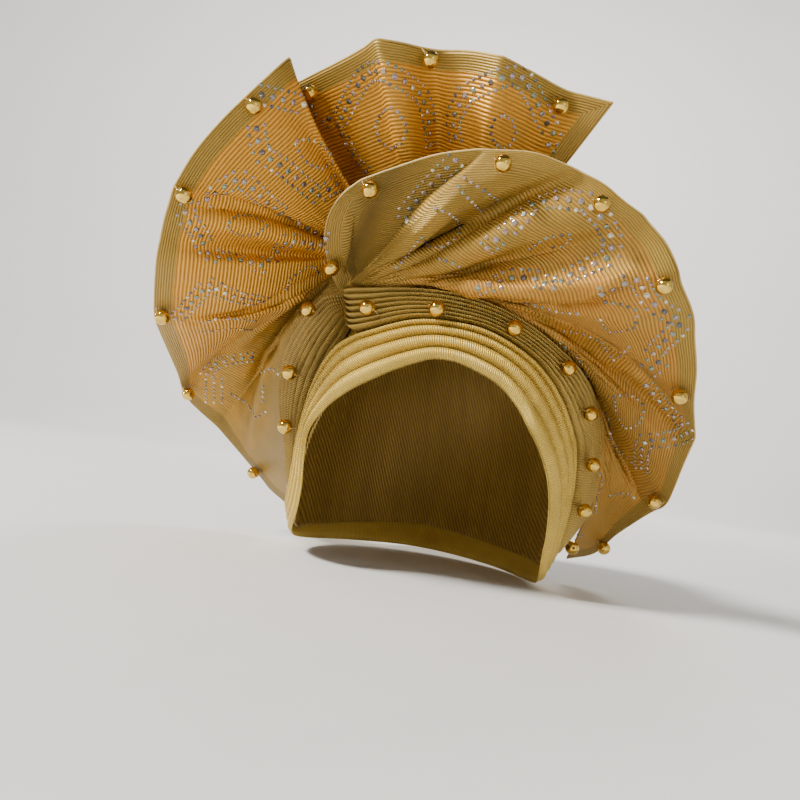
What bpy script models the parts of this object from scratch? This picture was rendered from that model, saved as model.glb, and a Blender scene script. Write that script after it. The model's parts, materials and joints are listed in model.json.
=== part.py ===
"""A tied gele head tie: pleated bands round an open head hollow, two stiff pleated fans and gold beads.

Metres, +Z up, front at -Y. The origin is the middle of the head hollow at brow level.
"""

import math

import bmesh
import bpy
import numpy as np
from mathutils import Vector
from mathutils.bvhtree import BVHTree

# Head that the tie is wound on, which sets the hollow
HEAD_HALF_BREADTH = 0.077
HEAD_HALF_LENGTH = 0.098
CROWN_HEIGHT = 0.097
CROWN_FULLNESS = 2.2
NAPE_DEPTH = 0.080
NAPE_BREADTH_LOSS = 0.20
NAPE_LENGTH_LOSS = 0.29

# Cloth layers over the head
HEAD_EASE = 0.0006
CAP_WALL = 0.0014
LAYER_GAP = 0.0009
PLEAT_STACK = 0.020
PLEAT_GROOVE = 0.0022
EDGE_GAP = 0.0010
FAN_WALL = 0.0014

# Fans, measured from the hub on the middle line of the head
FAN_HUB_HEIGHT = 0.060
BACK_REACH = 0.135
FRONT_REACH = 0.150
FAN_FORWARD = 0.130
FAN_BOW = 0.010
SEAT_GAP = 0.0006
FAN_EDGE_GAP = 0.0025
GATHER_SINK = 1.0
HEM_WIDTH = 0.0090

# Beads
BEAD_DIAMETER = 0.0080
BEAD_GAP = 0.0003
BEAD_SIDES = 10
BEAD_RINGS = 5
BEAD_PUSHES = 12
BEAD_PROBE = 0.10

# Faces along and across each form
CAP_COLUMNS = 32
CAP_RINGS = 6
BAND_STEP = 0.013
BAND_INNER_STEPS = 3
FAN_ROWS_BETWEEN = 2
FAN_STEPS = 7

# Rim of the cap: turn from the front in degrees, height as a share of CROWN_HEIGHT
CAP_RIM = (
    (0, 0.52), (20, 0.46), (34, 0.33), (45, 0.17), (53, -0.02), (60, -0.26),
    (72, -0.50), (90, -0.56), (120, -0.56), (180, -0.50),
)

# One pleat across: share of its width, and how much of the groove's depth it has there
PLEAT_SHAPE = ((0.22, 0.0), (0.78, 0.0), (1.0, 1.0))

# Forehead band, a closed ring: turn and height of its lower and upper edges, and how far it stands off
FOREHEAD_COLUMNS = ("low_turn", "low_height", "top_turn", "top_height", "stand")
FOREHEAD_ROWS = (
    (-3, 0.45, -5, 0.65, 0.45),
    (5, 0.45, 4, 0.65, 0.45),
    (13, 0.42, 15, 0.64, 0.45),
    (22, 0.37, 26, 0.60, 0.45),
    (30, 0.28, 38, 0.53, 0.45),
    (36, 0.18, 49, 0.41, 0.45),
    (43, 0.07, 59, 0.25, 0.45),
    (50, -0.07, 65, 0.15, 0.45),
    (55, -0.21, 68, -0.01, 0.45),
    (59, -0.35, 69, -0.20, 0.45),
    (65, -0.52, 72, -0.40, 0.42),
    (80, -0.65, 86, -0.50, 0.40),
    (105, -0.69, 108, -0.52, 0.38),
    (140, -0.68, 140, -0.49, 0.38),
    (180, -0.66, 180, -0.46, 0.38),
    (220, -0.66, 220, -0.46, 0.36),
    (255, -0.64, 253, -0.48, 0.33),
    (280, -0.58, 276, -0.44, 0.31),
    (298, -0.46, 292, -0.34, 0.30),
    (306, -0.30, 299, -0.18, 0.30),
    (307, -0.13, 302, -0.03, 0.32),
    (308, 0.02, 305, 0.12, 0.35),
    (317, 0.15, 308, 0.29, 0.40),
    (326, 0.24, 314, 0.46, 0.45),
    (335, 0.31, 321, 0.53, 0.45),
    (343, 0.37, 330, 0.57, 0.45),
    (351, 0.42, 344, 0.63, 0.45),
)
# Where each pleat of the forehead band ends, as a share across it from its lower edge
FOREHEAD_PLEATS = (0.32, 0.62, 0.86, 1.0)

# Crown band, open at both ends: it follows the forehead band's top edge, and the row gives its own outer edge
CROWN_COLUMNS = ("low_turn", "low_height", "top_turn", "top_height", "stand")
CROWN_ROWS = (
    (-42, 0.54, -50, 0.735, 1.05),
    (-37, 0.55, -42, 0.75, 1.00),
    (-30, 0.57, -33, 0.755, 0.90),
    (-16, 0.63, -20, 0.765, 0.80),
    (-5, 0.65, -5, 0.77, 0.75),
    (4, 0.65, 7, 0.76, 0.75),
    (15, 0.64, 20, 0.735, 0.75),
    (26, 0.60, 33, 0.685, 0.77),
    (38, 0.53, 47, 0.61, 0.80),
    (49, 0.41, 60, 0.54, 0.85),
    (59, 0.25, 73, 0.44, 0.92),
    (65, 0.15, 78, 0.28, 1.00),
    (68, -0.01, 81, 0.08, 1.03),
    (69, -0.20, 82, -0.12, 0.98),
    (72, -0.40, 84, -0.28, 0.85),
    (86, -0.50, 92, -0.36, 0.70),
    (108, -0.52, 110, -0.38, 0.60),
    (140, -0.49, 140, -0.33, 0.55),
    (180, -0.46, 180, -0.28, 0.55),
    (220, -0.46, 220, -0.29, 0.52),
    (253, -0.48, 250, -0.33, 0.46),
    (276, -0.44, 271, -0.30, 0.42),
)
CROWN_PLEATS = (0.2, 0.4, 0.6, 0.8, 1.0)

# Left pleats, open at both ends, from the gather at the top down past the left temple
LEFT_COLUMNS = ("low_turn", "low_height", "top_turn", "top_height", "stand")
LEFT_ROWS = (
    (-43.5, 0.545, -53, 0.745, 1.15),
    (-45, 0.50, -58, 0.68, 1.15),
    (-47.5, 0.44, -64, 0.60, 1.15),
    (-50, 0.37, -70, 0.47, 1.08),
    (-52.5, 0.29, -73, 0.33, 0.98),
    (-56, 0.12, -72, 0.14, 0.75),
    (-59, -0.03, -70, -0.02, 0.50),
    (-62, -0.18, -69, -0.16, 0.35),
    (-69, -0.32, -75, -0.28, 0.30),
)
LEFT_PLEATS = (0.2, 0.4, 0.6, 0.8, 1.0)

# How far each band's lower edge stands off, as a share of its row's stand
FOREHEAD_LOW = 0.60
CROWN_LOW = 0.50
LEFT_LOW = 0.45

# Line that the back fan is gathered on, as shares of the head's half breadth, half length and crown height
GATHER_COLUMNS = ("right", "forward", "up")
BACK_GATHER = (
    (-1.06, -0.12, -0.22),
    (-1.09, 0.00, -0.05),
    (-1.08, 0.10, 0.28),
    (-1.02, 0.20, 0.64),
    (-0.90, 0.29, 0.89),
    (-0.85, 0.33, 0.97),
    (-0.80, 0.39, 1.04),
    (-0.73, 0.43, 1.10),
    (-0.56, 0.43, 1.13),
    (-0.34, 0.43, 1.09),
    (-0.14, 0.43, 1.03),
    (0.00, 0.43, 1.01),
    (0.13, 0.41, 0.97),
)

# Spokes of a fan, one row for each fold: where it springs from along its gather line, where it meets
# the rim (turn about the hub, reach, forward), how its middle bows sideways and to the front, and crease
SPOKE_COLUMNS = ("root", "turn", "reach", "forward", "side", "front", "crease")
BACK_SPOKES = (
    (0.0, -141, 1.01, -0.36, 0.0, 0.0, 0),
    (1.0, -134, 1.05, -0.46, 0.0, 0.0, 0),
    (2.0, -131, 1.06, -0.49, 0.3, 0.3, 0),
    (3.0, -127.5, 1.075, -0.51, 0.7, 0.8, 0),
    (3.9, -124, 1.09, -0.51, 1.0, 1.3, 1),
    (4.2, -113.5, 1.16, -0.45, 0.3, -1.0, 1),
    (4.5, -106, 1.25, -0.32, 0.6, 1.0, 0),
    (4.8, -101.6, 1.21, -0.06, -0.2, 0.2, 0),
    (5.1, -95, 1.15, 0.40, -1.1, 0.0, 0),
    (5.35, -93, 1.13, 0.51, -1.2, -0.8, 1),
    (5.6, -90, 1.10, 0.62, -0.9, 0.4, 1),
    (5.9, -85, 1.06, 0.77, -0.5, 0.7, 0),
    (6.1, -81, 1.045, 0.83, -0.2, -0.4, 0),
    (6.3, -78, 1.03, 0.89, 0.2, 0.5, 0),
    (6.5, -75, 1.02, 0.93, 0.5, -0.5, 1),
    (6.7, -72.5, 1.02, 0.95, 0.4, 0.5, 1),
    (7.35, -65, 1.01, 0.97, 0.0, 0.4, 0),
    (7.6, -57, 1.00, 0.98, 0.0, 0.4, 0),
    (7.9, -49, 1.00, 0.98, 0.0, 0.3, 0),
    (8.2, -43, 1.01, 0.98, 0.0, -0.4, 0),
    (8.5, -37.7, 1.03, 0.94, 0.0, 0.5, 1),
    (8.8, -35.8, 1.05, 0.75, 0.2, -1.0, 1),
    (9.3, -27, 0.97, 0.91, 0.1, 0.1, 0),
    (9.9, -22.5, 0.95, 1.00, 0.0, 0.8, 1),
    (10.2, -18, 0.93, 0.98, 0.0, 0.2, 0),
    (10.5, -11, 0.92, 0.92, 0.0, -0.6, 0),
    (10.9, -3.3, 0.90, 0.95, 0.0, 0.0, 0),
    (11.2, 4, 0.87, 1.00, 0.0, 0.6, 1),
    (11.4, 11.6, 0.88, 0.92, 0.0, 0.0, 0),
    (11.6, 18.7, 0.90, 0.85, 0.0, -0.4, 0),
    (11.8, 24.5, 0.92, 0.85, 0.0, 0.2, 1),
    (12.0, 29, 0.94, 0.86, 0.0, 0.0, 0),
)
FRONT_SPOKES = (
    (0.0, -45.5, 0.513, 0.86, -0.8, 0.6, 0),
    (0.15, -39.5, 0.51, 0.875, 0.2, 0.9, 1),
    (0.35, -28, 0.49, 0.905, 0.0, 0.3, 0),
    (0.55, -12, 0.493, 0.935, 0.0, -0.1, 0),
    (0.75, 2, 0.505, 0.965, 0.1, -0.6, 1),
    (0.85, 6, 0.508, 0.97, 0.1, 0.9, 1),
    (1.05, 20, 0.54, 0.985, 0.0, 1.0, 0),
    (1.25, 32, 0.565, 0.985, -0.5, 0.8, 1),
    (1.35, 35, 0.575, 0.975, -0.5, -0.7, 1),
    (1.6, 42, 0.595, 0.98, -0.2, 0.4, 0),
    (1.9, 49, 0.61, 0.98, 0.0, 0.7, 0),
    (2.2, 55, 0.64, 0.972, 0.1, 0.5, 1),
    (2.35, 57, 0.645, 0.966, 0.1, -0.6, 1),
    (2.9, 63, 0.67, 0.955, 0.2, -0.3, 0),
    (3.5, 67.5, 0.682, 0.945, 0.5, 0.3, 0),
    (3.9, 71, 0.69, 0.935, 0.7, 0.9, 1),
    (4.15, 73.5, 0.695, 0.915, 0.7, -0.5, 1),
    (4.7, 80.6, 0.737, 0.86, 0.3, -0.2, 0),
    (5.1, 86, 0.76, 0.795, 0.0, 0.0, 0),
    (5.4, 92, 0.80, 0.70, -0.4, 0.0, 0),
    (5.7, 98.5, 0.838, 0.605, -0.8, 0.2, 0),
    (6.0, 104.4, 0.907, 0.49, -1.2, 0.9, 1),
    (6.5, 106.5, 0.92, 0.43, -1.0, -1.0, 1),
    (7.4, 108.8, 0.935, 0.37, -0.6, -0.3, 0),
    (8.2, 111, 0.95, 0.32, -0.3, 0.2, 0),
    (9.4, 117, 1.005, 0.154, 0.0, 0.4, 0),
    (10.3, 119.5, 1.0, 0.08, 0.3, -0.7, 1),
    (11.0, 122, 0.997, 0.00, 0.0, 0.0, 0),
    (11.8, 128, 1.00, -0.16, 0.0, 0.0, 0),
    (12.6, 134, 1.02, -0.28, 0.0, 0.0, 0),
    (13.2, 140, 0.98, -0.32, 0.0, 0.0, 0),
)


# Beads on a fan: place counted in spokes, and distance in from the rim as a share of HEM_WIDTH
BACK_BEADS = (
    (2.65, 0.65), (6.25, 0.60), (9.15, 0.46), (14.85, 0.38),
    (17.75, 0.42), (21.10, 0.80), (24.80, 0.35), (29.05, 0.65),
)
FRONT_BEADS = (
    (0.38, 4.10), (1.38, 0.50), (5.70, 1.00), (9.90, 0.95),
    (15.20, 0.85), (19.90, 0.80), (25.20, 0.80), (28.60, 0.50),
)

# Beads on a band: place counted in rows, and share across it from its lower edge
CROWN_BEADS = (
    (2.10, 0.40), (4.05, 0.22), (6.70, 0.35), (8.50, 0.45),
    (9.85, 0.30), (11.65, 0.10), (13.00, 0.05), (14.90, 0.44),
)
LEFT_BEADS = ((1.15, 0.78), (3.90, 0.30), (5.65, 0.20))


def named_rows(columns, rows):
    return [dict(zip(columns, row)) for row in rows]


def section(height, stand):
    """Half breadth and half length of the head at a height, with a layer standing off it."""
    if height >= 0:
        top = CROWN_HEIGHT + stand
        rest = max(1 - (height / top) ** CROWN_FULLNESS, 0.0)
        share = rest ** (1 / CROWN_FULLNESS)
        return (HEAD_HALF_BREADTH + stand) * share, (HEAD_HALF_LENGTH + stand) * share
    down = (height / NAPE_DEPTH) ** 2
    breadth = HEAD_HALF_BREADTH * (1 - NAPE_BREADTH_LOSS * down) + stand
    length = HEAD_HALF_LENGTH * (1 - NAPE_LENGTH_LOSS * down) + stand
    return breadth, length


def on_head(turn, height, stand):
    """Point at a turn from the front (degrees, to +X) and a height share, standing off the head."""
    # Above the crown's shoulder the layer also rises, so that it stands off square to the cloth.
    share = height * (1 + max(height, 0) ** 3 * stand / CROWN_HEIGHT)
    z = share * CROWN_HEIGHT
    breadth, length = section(z, stand)
    angle = math.radians(turn)
    return np.array((breadth * math.sin(angle), -length * math.cos(angle), z))


def hermite(values, places, part, t, crease):
    """Cubic through the rows of values, with a corner at each row whose crease is 1."""
    span = places[part + 1] - places[part]
    chord = (values[part + 1] - values[part]) / span
    slopes = []
    for row in (part, part + 1):
        if 0 < row < len(values) - 1:
            smooth = (values[row + 1] - values[row - 1]) / (places[row + 1] - places[row - 1])
            slopes.append(smooth * (1 - crease[row]) + chord * crease[row])
        else:
            slopes.append(chord)
    a, b = values[part], values[part + 1]
    t2, t3 = t * t, t * t * t
    return (
        (2 * t3 - 3 * t2 + 1) * a
        + (t3 - 2 * t2 + t) * span * slopes[0]
        + (3 * t2 - 2 * t3) * b
        + (t3 - t2) * span * slopes[1]
    )


def along(values, place):
    """Values at a place along a table, counted in rows, smoothed through the rows."""
    values = np.asarray(values, float)
    part = min(int(place), len(values) - 2)
    rows = np.arange(len(values), dtype=float)
    return hermite(values, rows, part, place - part, np.zeros(len(values)))


def cap_seat(point):
    """Point where the line from a point to the middle of the head meets the cloth laid on the cap."""
    stand = HEAD_EASE + CAP_WALL + SEAT_GAP
    near, far = 0.0, 1.0
    for _ in range(30):
        share = (near + far) / 2
        x, y, z = point * share
        breadth, length = section(min(z, CROWN_HEIGHT + stand), stand)
        inside = z < CROWN_HEIGHT + stand and (x / breadth) ** 2 + (y / length) ** 2 < 1
        near, far = (share, far) if inside else (near, share)
    return point * far


def across_band(row, across, stand):
    """Point a share of the way from a band's lower edge to its upper edge, standing off the head."""
    turn = row["low_turn"] + (row["top_turn"] - row["low_turn"]) * across
    height = row["low_height"] + (row["top_height"] - row["low_height"]) * across
    return on_head(turn, height, stand)


def back_gather(root):
    """Seat on the cap and neck of the back fan at a place along its gather line."""
    neck = along(BACK_GATHER, root) * (HEAD_HALF_BREADTH, -HEAD_HALF_LENGTH, CROWN_HEIGHT)
    return cap_seat(neck), neck


def front_gather(root):
    """Seat and neck of the front fan at a row place of the crown band, just past the band's outer edge."""
    row = dict(zip(CROWN_COLUMNS, along(CROWN_ROWS, root)))
    stand = row["stand"] * PLEAT_STACK * GATHER_SINK
    low = across_band(row, 0, stand)
    neck = across_band(row, 1, stand)
    beyond = (neck - low) / np.linalg.norm(neck - low) * FAN_EDGE_GAP
    foot = across_band(row, 1, HEAD_EASE + CAP_WALL + SEAT_GAP)
    return foot + beyond, neck + beyond


def spoke_ends(spokes, gather, reach):
    """Place on the gather line, rim point and bow of each spoke of a fan, as one row of numbers."""
    ends = []
    for row in named_rows(SPOKE_COLUMNS, spokes):
        neck = gather(row["root"])[1]
        angle = math.radians(row["turn"])
        out = row["reach"] * reach
        rim = np.array((
            out * math.sin(angle),
            -row["forward"] * FAN_FORWARD,
            FAN_HUB_HEIGHT + out * math.cos(angle),
        ))
        way = rim - neck
        side = np.array((way[2], 0.0, -way[0])) / math.hypot(way[0], way[2])
        bow = (side * row["side"] + np.array((0.0, -row["front"], 0.0))) * FAN_BOW
        ends.append(np.concatenate(((row["root"],), rim, bow)))
    return np.array(ends)


def spoke_at(spokes, ends, gather, place):
    """Seat, neck, middle and rim points of a spoke at a place counted in spokes."""
    part = min(int(place), len(ends) - 2)
    places = np.arange(len(ends), dtype=float)
    crease = [row[-1] for row in spokes]
    found = hermite(ends, places, part, place - part, crease)
    seat, neck = gather(found[0])
    rim = found[1:4]
    return seat, neck, (neck + rim) / 2 + 2 * found[4:], rim


def on_spoke(spoke, v):
    """Point on a spoke at a share of the way from its neck to the rim."""
    _, neck, middle, rim = spoke
    return (1 - v) ** 2 * neck + 2 * v * (1 - v) * middle + v * v * rim


def fan_points(spokes, gather, reach, between, steps):
    """Grid of points of a fan's middle surface: a column for each spoke and those between, seat to rim."""
    ends = spoke_ends(spokes, gather, reach)
    grid = []
    for column in range((len(ends) - 1) * between + 1):
        spoke = spoke_at(spokes, ends, gather, column / between)
        grid.append([spoke[0]] + [on_spoke(spoke, step / steps) for step in range(steps + 1)])
    return np.array(grid)


def clear_scene():
    for thing in list(bpy.data.objects):
        bpy.data.objects.remove(thing, do_unlink=True)


def cloth_material(name, colour, roughness=0.6, metallic=0.0):
    material = bpy.data.materials.new(name)
    material.use_nodes = True
    shader = material.node_tree.nodes["Principled BSDF"]
    shader.inputs["Base Color"].default_value = (*colour, 1.0)
    shader.inputs["Roughness"].default_value = roughness
    shader.inputs["Metallic"].default_value = metallic
    return material


def add_object(name, mesh, material, smooth_angle=40):
    thing = bpy.data.objects.new(name, mesh)
    bpy.context.scene.collection.objects.link(thing)
    mesh.materials.append(material)
    mesh.shade_smooth()
    mesh.set_sharp_from_angle(angle=math.radians(smooth_angle))
    return thing


def mesh_from(name, points, faces):
    mesh = bpy.data.meshes.new(name)
    mesh.from_pydata([tuple(point) for point in points], [], faces)
    shape = bmesh.new()
    shape.from_mesh(mesh)
    bmesh.ops.recalc_face_normals(shape, faces=shape.faces)
    shape.to_mesh(mesh)
    shape.free()
    return mesh


def grid_faces(columns, rows, closed=False):
    faces = []
    for column in range(columns if closed else columns - 1):
        after = (column + 1) % columns
        for row in range(rows - 1):
            a, b = column * rows + row, after * rows + row
            faces.append((a, b, b + 1, a + 1))
    return faces


def add_fan(name, spokes, gather, reach, material):
    grid = fan_points(spokes, gather, reach, FAN_ROWS_BETWEEN, FAN_STEPS)
    mesh = mesh_from(name, grid.reshape(-1, 3), grid_faces(grid.shape[0], grid.shape[1]))
    fan = add_object(name, mesh, material)
    wall = fan.modifiers.new("Wall", "SOLIDIFY")
    wall.thickness = FAN_WALL
    wall.offset = 0
    return fan


def pleat_profile(pleats, low, high):
    """Outer profile of a pleated band, as (share across, share of the stand, groove depth)."""
    profile = [(0.0, low, 1.0)]
    start = 0.0
    for end in pleats:
        for share, depth in PLEAT_SHAPE:
            across = start + (end - start) * share
            profile.append((across, low + (high - low) * across, depth))
        start = end
    return profile


def band_section(row, profile, inner_steps, inner_stand, edge_gap):
    """Loop of points round one section of a band: out along the pleats, back along its inside."""
    breadth = np.linalg.norm(across_band(row, 1, inner_stand) - across_band(row, 0, inner_stand))
    start = edge_gap / breadth

    def place(across, stand):
        return across_band(row, start + (1 - start) * across, stand)

    loop = []
    for across, share, groove in profile:
        stand = inner_stand + (row["stand"] * PLEAT_STACK - inner_stand) * share
        loop.append(place(across, stand - groove * PLEAT_GROOVE))
    for step in range(inner_steps, -1, -1):
        loop.append(place(step / inner_steps, inner_stand))
    return loop


def band_rows(columns, rows, closed):
    """Rows of a band's table with smooth rows between them, about a band step apart along the head."""
    values = np.array(rows, float)
    if closed:
        turn = np.array([360.0 if key.endswith("turn") else 0.0 for key in columns])
        values = np.vstack((values[-1] - turn, values, values[0] + turn, values[1] + turn))
    places = np.arange(len(values), dtype=float)
    crease = np.zeros(len(values))
    middles = [across_band(dict(zip(columns, row)), 0.5, 0.0) for row in values]
    first, last = (1, len(values) - 2) if closed else (0, len(values) - 1)
    smooth = []
    for part in range(first, last):
        length = np.linalg.norm(middles[part + 1] - middles[part])
        steps = max(1, round(length / BAND_STEP))
        for step in range(steps):
            smooth.append(hermite(values, places, part, step / steps, crease))
    if not closed:
        smooth.append(values[-1])
    return [dict(zip(columns, row)) for row in smooth]


def add_band(name, columns, rows, profile, material, closed, edge_gap):
    inner_stand = HEAD_EASE + CAP_WALL + LAYER_GAP
    loops = [
        band_section(row, profile, BAND_INNER_STEPS, inner_stand, edge_gap)
        for row in band_rows(columns, rows, closed)
    ]
    size = len(loops[0])
    faces = []
    for loop in range(len(loops) if closed else len(loops) - 1):
        after = (loop + 1) % len(loops)
        for point in range(size):
            following = (point + 1) % size
            faces.append((
                loop * size + point, after * size + point,
                after * size + following, loop * size + following,
            ))
    if not closed:
        faces.append(tuple(range(size)))
        faces.append(tuple(reversed(range((len(loops) - 1) * size, len(loops) * size))))
    return add_object(name, mesh_from(name, [point for loop in loops for point in loop], faces), material)


def add_cap(material):
    """The close cap under the bands: a dome wall, open at the face and at the neck."""
    turns = [row[0] for row in CAP_RIM]
    heights = [row[1] for row in CAP_RIM]
    points = []
    for stand in (HEAD_EASE, HEAD_EASE + CAP_WALL):
        for column in range(CAP_COLUMNS):
            turn = 360 * column / CAP_COLUMNS
            away = min(turn, 360 - turn)
            rim = float(np.interp(away, turns, heights))
            for ring in range(CAP_RINGS):
                up = math.sin(ring / CAP_RINGS * math.pi / 2)
                points.append(on_head(turn, rim + (1 - rim) * up, stand))
        points.append(np.array((0.0, 0.0, CROWN_HEIGHT + stand)))
    layer = CAP_COLUMNS * CAP_RINGS + 1
    faces = []
    for start, turned in ((0, True), (layer, False)):
        for column in range(CAP_COLUMNS):
            a = start + column * CAP_RINGS
            b = start + (column + 1) % CAP_COLUMNS * CAP_RINGS
            ring_faces = [(a + ring, b + ring, b + ring + 1, a + ring + 1) for ring in range(CAP_RINGS - 1)]
            ring_faces.append((a + CAP_RINGS - 1, b + CAP_RINGS - 1, start + layer - 1))
            faces += [face[::-1] for face in ring_faces] if turned else ring_faces
    for column in range(CAP_COLUMNS):
        a = column * CAP_RINGS
        b = (column + 1) % CAP_COLUMNS * CAP_RINGS
        faces.append((a, b, layer + b, layer + a))
    return add_object("cap", mesh_from("cap", points, faces), material)


def fan_place(spokes, gather, reach, spoke, inset):
    """Point on a fan's middle surface at a spoke place and a distance in from the rim, and its front normal."""
    ends = spoke_ends(spokes, gather, reach)

    def point(place, distance):
        line = spoke_at(spokes, ends, gather, place)
        last = 2 * np.linalg.norm(line[3] - line[2])
        return on_spoke(line, 1 - distance / last)

    here = point(spoke, inset)
    along_rim = point(spoke + BEAD_PROBE, inset) - point(spoke - BEAD_PROBE, inset)
    inwards = point(spoke, inset + BEAD_DIAMETER / 2) - here
    normal = np.cross(inwards, along_rim)
    return here, normal / np.linalg.norm(normal)


def band_place(columns, rows, place, across, low):
    """Point on a band's outer side at a place along its rows and a share across it, and its outward normal."""
    row = dict(zip(columns, along(rows, place)))
    inner = HEAD_EASE + CAP_WALL + LAYER_GAP
    stand = inner + (row["stand"] * PLEAT_STACK - inner) * (low + (1 - low) * across)
    here = across_band(row, across, stand)
    normal = across_band(row, across, stand + BEAD_DIAMETER) - here
    return here, normal / np.linalg.norm(normal)


def clear_of(tree, centre, distance):
    """Centre moved, a step at a time, until the nearest surface in the tree is just the distance away."""
    for _ in range(BEAD_PUSHES):
        near, _, _, found = tree.find_nearest(Vector(centre))
        away = centre - np.array(near)
        centre = centre + away / np.linalg.norm(away) * (distance - found)
    return centre


def evaluated_tree(things):
    """One search tree over the finished surfaces of several objects."""
    graph = bpy.context.evaluated_depsgraph_get()
    points, faces = [], []
    for thing in things:
        mesh = thing.evaluated_get(graph).to_mesh()
        mesh.calc_loop_triangles()
        start = len(points)
        points += [vertex.co.copy() for vertex in mesh.vertices]
        faces += [[start + corner for corner in face.vertices] for face in mesh.loop_triangles]
    return BVHTree.FromPolygons(points, faces)


def add_bead(number, centre, material):
    shape = bmesh.new()
    bmesh.ops.create_uvsphere(
        shape, u_segments=BEAD_SIDES, v_segments=BEAD_RINGS, radius=BEAD_DIAMETER / 2,
    )
    mesh = bpy.data.meshes.new(f"bead_{number:02d}")
    shape.to_mesh(mesh)
    shape.free()
    bead = add_object(mesh.name, mesh, material)
    bead.location = centre


def add_beads(things, material):
    """The gold balls, each resting a bead gap off the cloth that it is sewn to."""
    tree = evaluated_tree(things)
    radius = BEAD_DIAMETER / 2
    found = []
    for spoke, inset in BACK_BEADS:
        found.append(fan_place(BACK_SPOKES, back_gather, BACK_REACH, spoke, inset * HEM_WIDTH))
    for spoke, inset in FRONT_BEADS:
        found.append(fan_place(FRONT_SPOKES, front_gather, FRONT_REACH, spoke, inset * HEM_WIDTH))
    for place, across in CROWN_BEADS:
        found.append(band_place(CROWN_COLUMNS, CROWN_ROWS, place, across, CROWN_LOW))
    for place, across in LEFT_BEADS:
        found.append(band_place(LEFT_COLUMNS, LEFT_ROWS, place, across, LEFT_LOW))
    for number, (here, normal) in enumerate(found, 1):
        centre = here + normal * (radius + FAN_WALL / 2)
        add_bead(number, clear_of(tree, centre, radius + BEAD_GAP), material)


def build():
    clear_scene()
    olive = cloth_material("olive_gold_cloth", (0.42, 0.27, 0.08))
    orange = cloth_material("orange_gold_cloth", (0.72, 0.36, 0.08))
    pale = cloth_material("pale_gold_cloth", (0.78, 0.58, 0.22))
    gold = cloth_material("polished_gold", (0.83, 0.56, 0.20), 0.18, 1.0)
    forehead_profile = pleat_profile(FOREHEAD_PLEATS, FOREHEAD_LOW, 1.0)
    crown_profile = pleat_profile(CROWN_PLEATS, CROWN_LOW, 1.0)
    left_profile = pleat_profile(LEFT_PLEATS, LEFT_LOW, 1.0)
    cloth = [
        add_cap(olive),
        add_band("forehead_band", FOREHEAD_COLUMNS, FOREHEAD_ROWS, forehead_profile, pale, True, 0.0),
        add_band("crown_band", CROWN_COLUMNS, CROWN_ROWS, crown_profile, olive, False, EDGE_GAP),
        add_band("left_pleats", LEFT_COLUMNS, LEFT_ROWS, left_profile, olive, False, EDGE_GAP),
        add_fan("back_fan", BACK_SPOKES, back_gather, BACK_REACH, orange),
        add_fan("front_fan", FRONT_SPOKES, front_gather, FRONT_REACH, olive),
    ]
    add_beads(cloth, gold)


build()
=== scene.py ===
"""Looks of the tied gele head tie: ribbed cloth, hems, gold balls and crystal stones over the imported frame.

Metres, +Z up, front at -Y, in the frame of the CAD. The tables of the bands and fans are those of the CAD's
source, with other rows at the knot and at the notch in the back fan's rim.
"""
import json
import math
from typing import NamedTuple

import bpy
import numpy as np
from mathutils import Matrix, Vector, noise
from mathutils.bvhtree import BVHTree

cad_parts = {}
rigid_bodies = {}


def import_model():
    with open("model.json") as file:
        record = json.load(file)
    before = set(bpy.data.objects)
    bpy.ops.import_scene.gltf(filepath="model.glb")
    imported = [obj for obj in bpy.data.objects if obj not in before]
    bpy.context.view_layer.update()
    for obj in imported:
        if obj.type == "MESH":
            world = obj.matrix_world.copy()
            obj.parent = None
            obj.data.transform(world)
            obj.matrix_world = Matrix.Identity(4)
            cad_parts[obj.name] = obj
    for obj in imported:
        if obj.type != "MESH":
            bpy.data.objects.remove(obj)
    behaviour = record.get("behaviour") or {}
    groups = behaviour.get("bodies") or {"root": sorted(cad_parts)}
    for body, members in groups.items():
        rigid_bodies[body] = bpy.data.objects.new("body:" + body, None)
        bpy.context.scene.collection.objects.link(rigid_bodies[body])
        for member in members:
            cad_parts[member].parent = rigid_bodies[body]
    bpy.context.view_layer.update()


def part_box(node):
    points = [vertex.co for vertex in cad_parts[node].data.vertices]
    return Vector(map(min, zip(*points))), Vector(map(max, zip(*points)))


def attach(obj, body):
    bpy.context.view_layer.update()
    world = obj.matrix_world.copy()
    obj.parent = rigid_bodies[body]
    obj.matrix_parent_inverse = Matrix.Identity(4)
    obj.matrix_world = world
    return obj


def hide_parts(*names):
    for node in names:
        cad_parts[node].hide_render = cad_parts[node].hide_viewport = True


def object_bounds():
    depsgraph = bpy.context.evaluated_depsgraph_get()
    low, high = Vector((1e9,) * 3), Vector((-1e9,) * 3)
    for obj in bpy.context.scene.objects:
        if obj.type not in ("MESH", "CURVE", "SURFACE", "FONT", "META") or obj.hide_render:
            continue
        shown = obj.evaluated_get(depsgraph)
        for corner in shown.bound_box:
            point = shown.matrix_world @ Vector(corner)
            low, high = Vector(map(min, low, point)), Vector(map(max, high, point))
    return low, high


# Head that the tie is wound on
HEAD_HALF_BREADTH = 0.077
HEAD_HALF_LENGTH = 0.098
CROWN_HEIGHT = 0.097
CROWN_FULLNESS = 2.2
NAPE_DEPTH = 0.080
NAPE_BREADTH_LOSS = 0.20
NAPE_LENGTH_LOSS = 0.29

# Cloth layers over the head
HEAD_EASE = 0.0006
CAP_WALL = 0.0014
LAYER_GAP = 0.0009
PLEAT_STACK = 0.020
EDGE_GAP = 0.0010
FAN_WALL = 0.0012

# Fans, measured from the hub on the middle line of the head
FAN_HUB_HEIGHT = 0.060
BACK_REACH = 0.135
FRONT_REACH = 0.150
FAN_FORWARD = 0.130
FAN_BOW = 0.010
SEAT_GAP = 0.0006
FAN_EDGE_GAP = 0.0025

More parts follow.
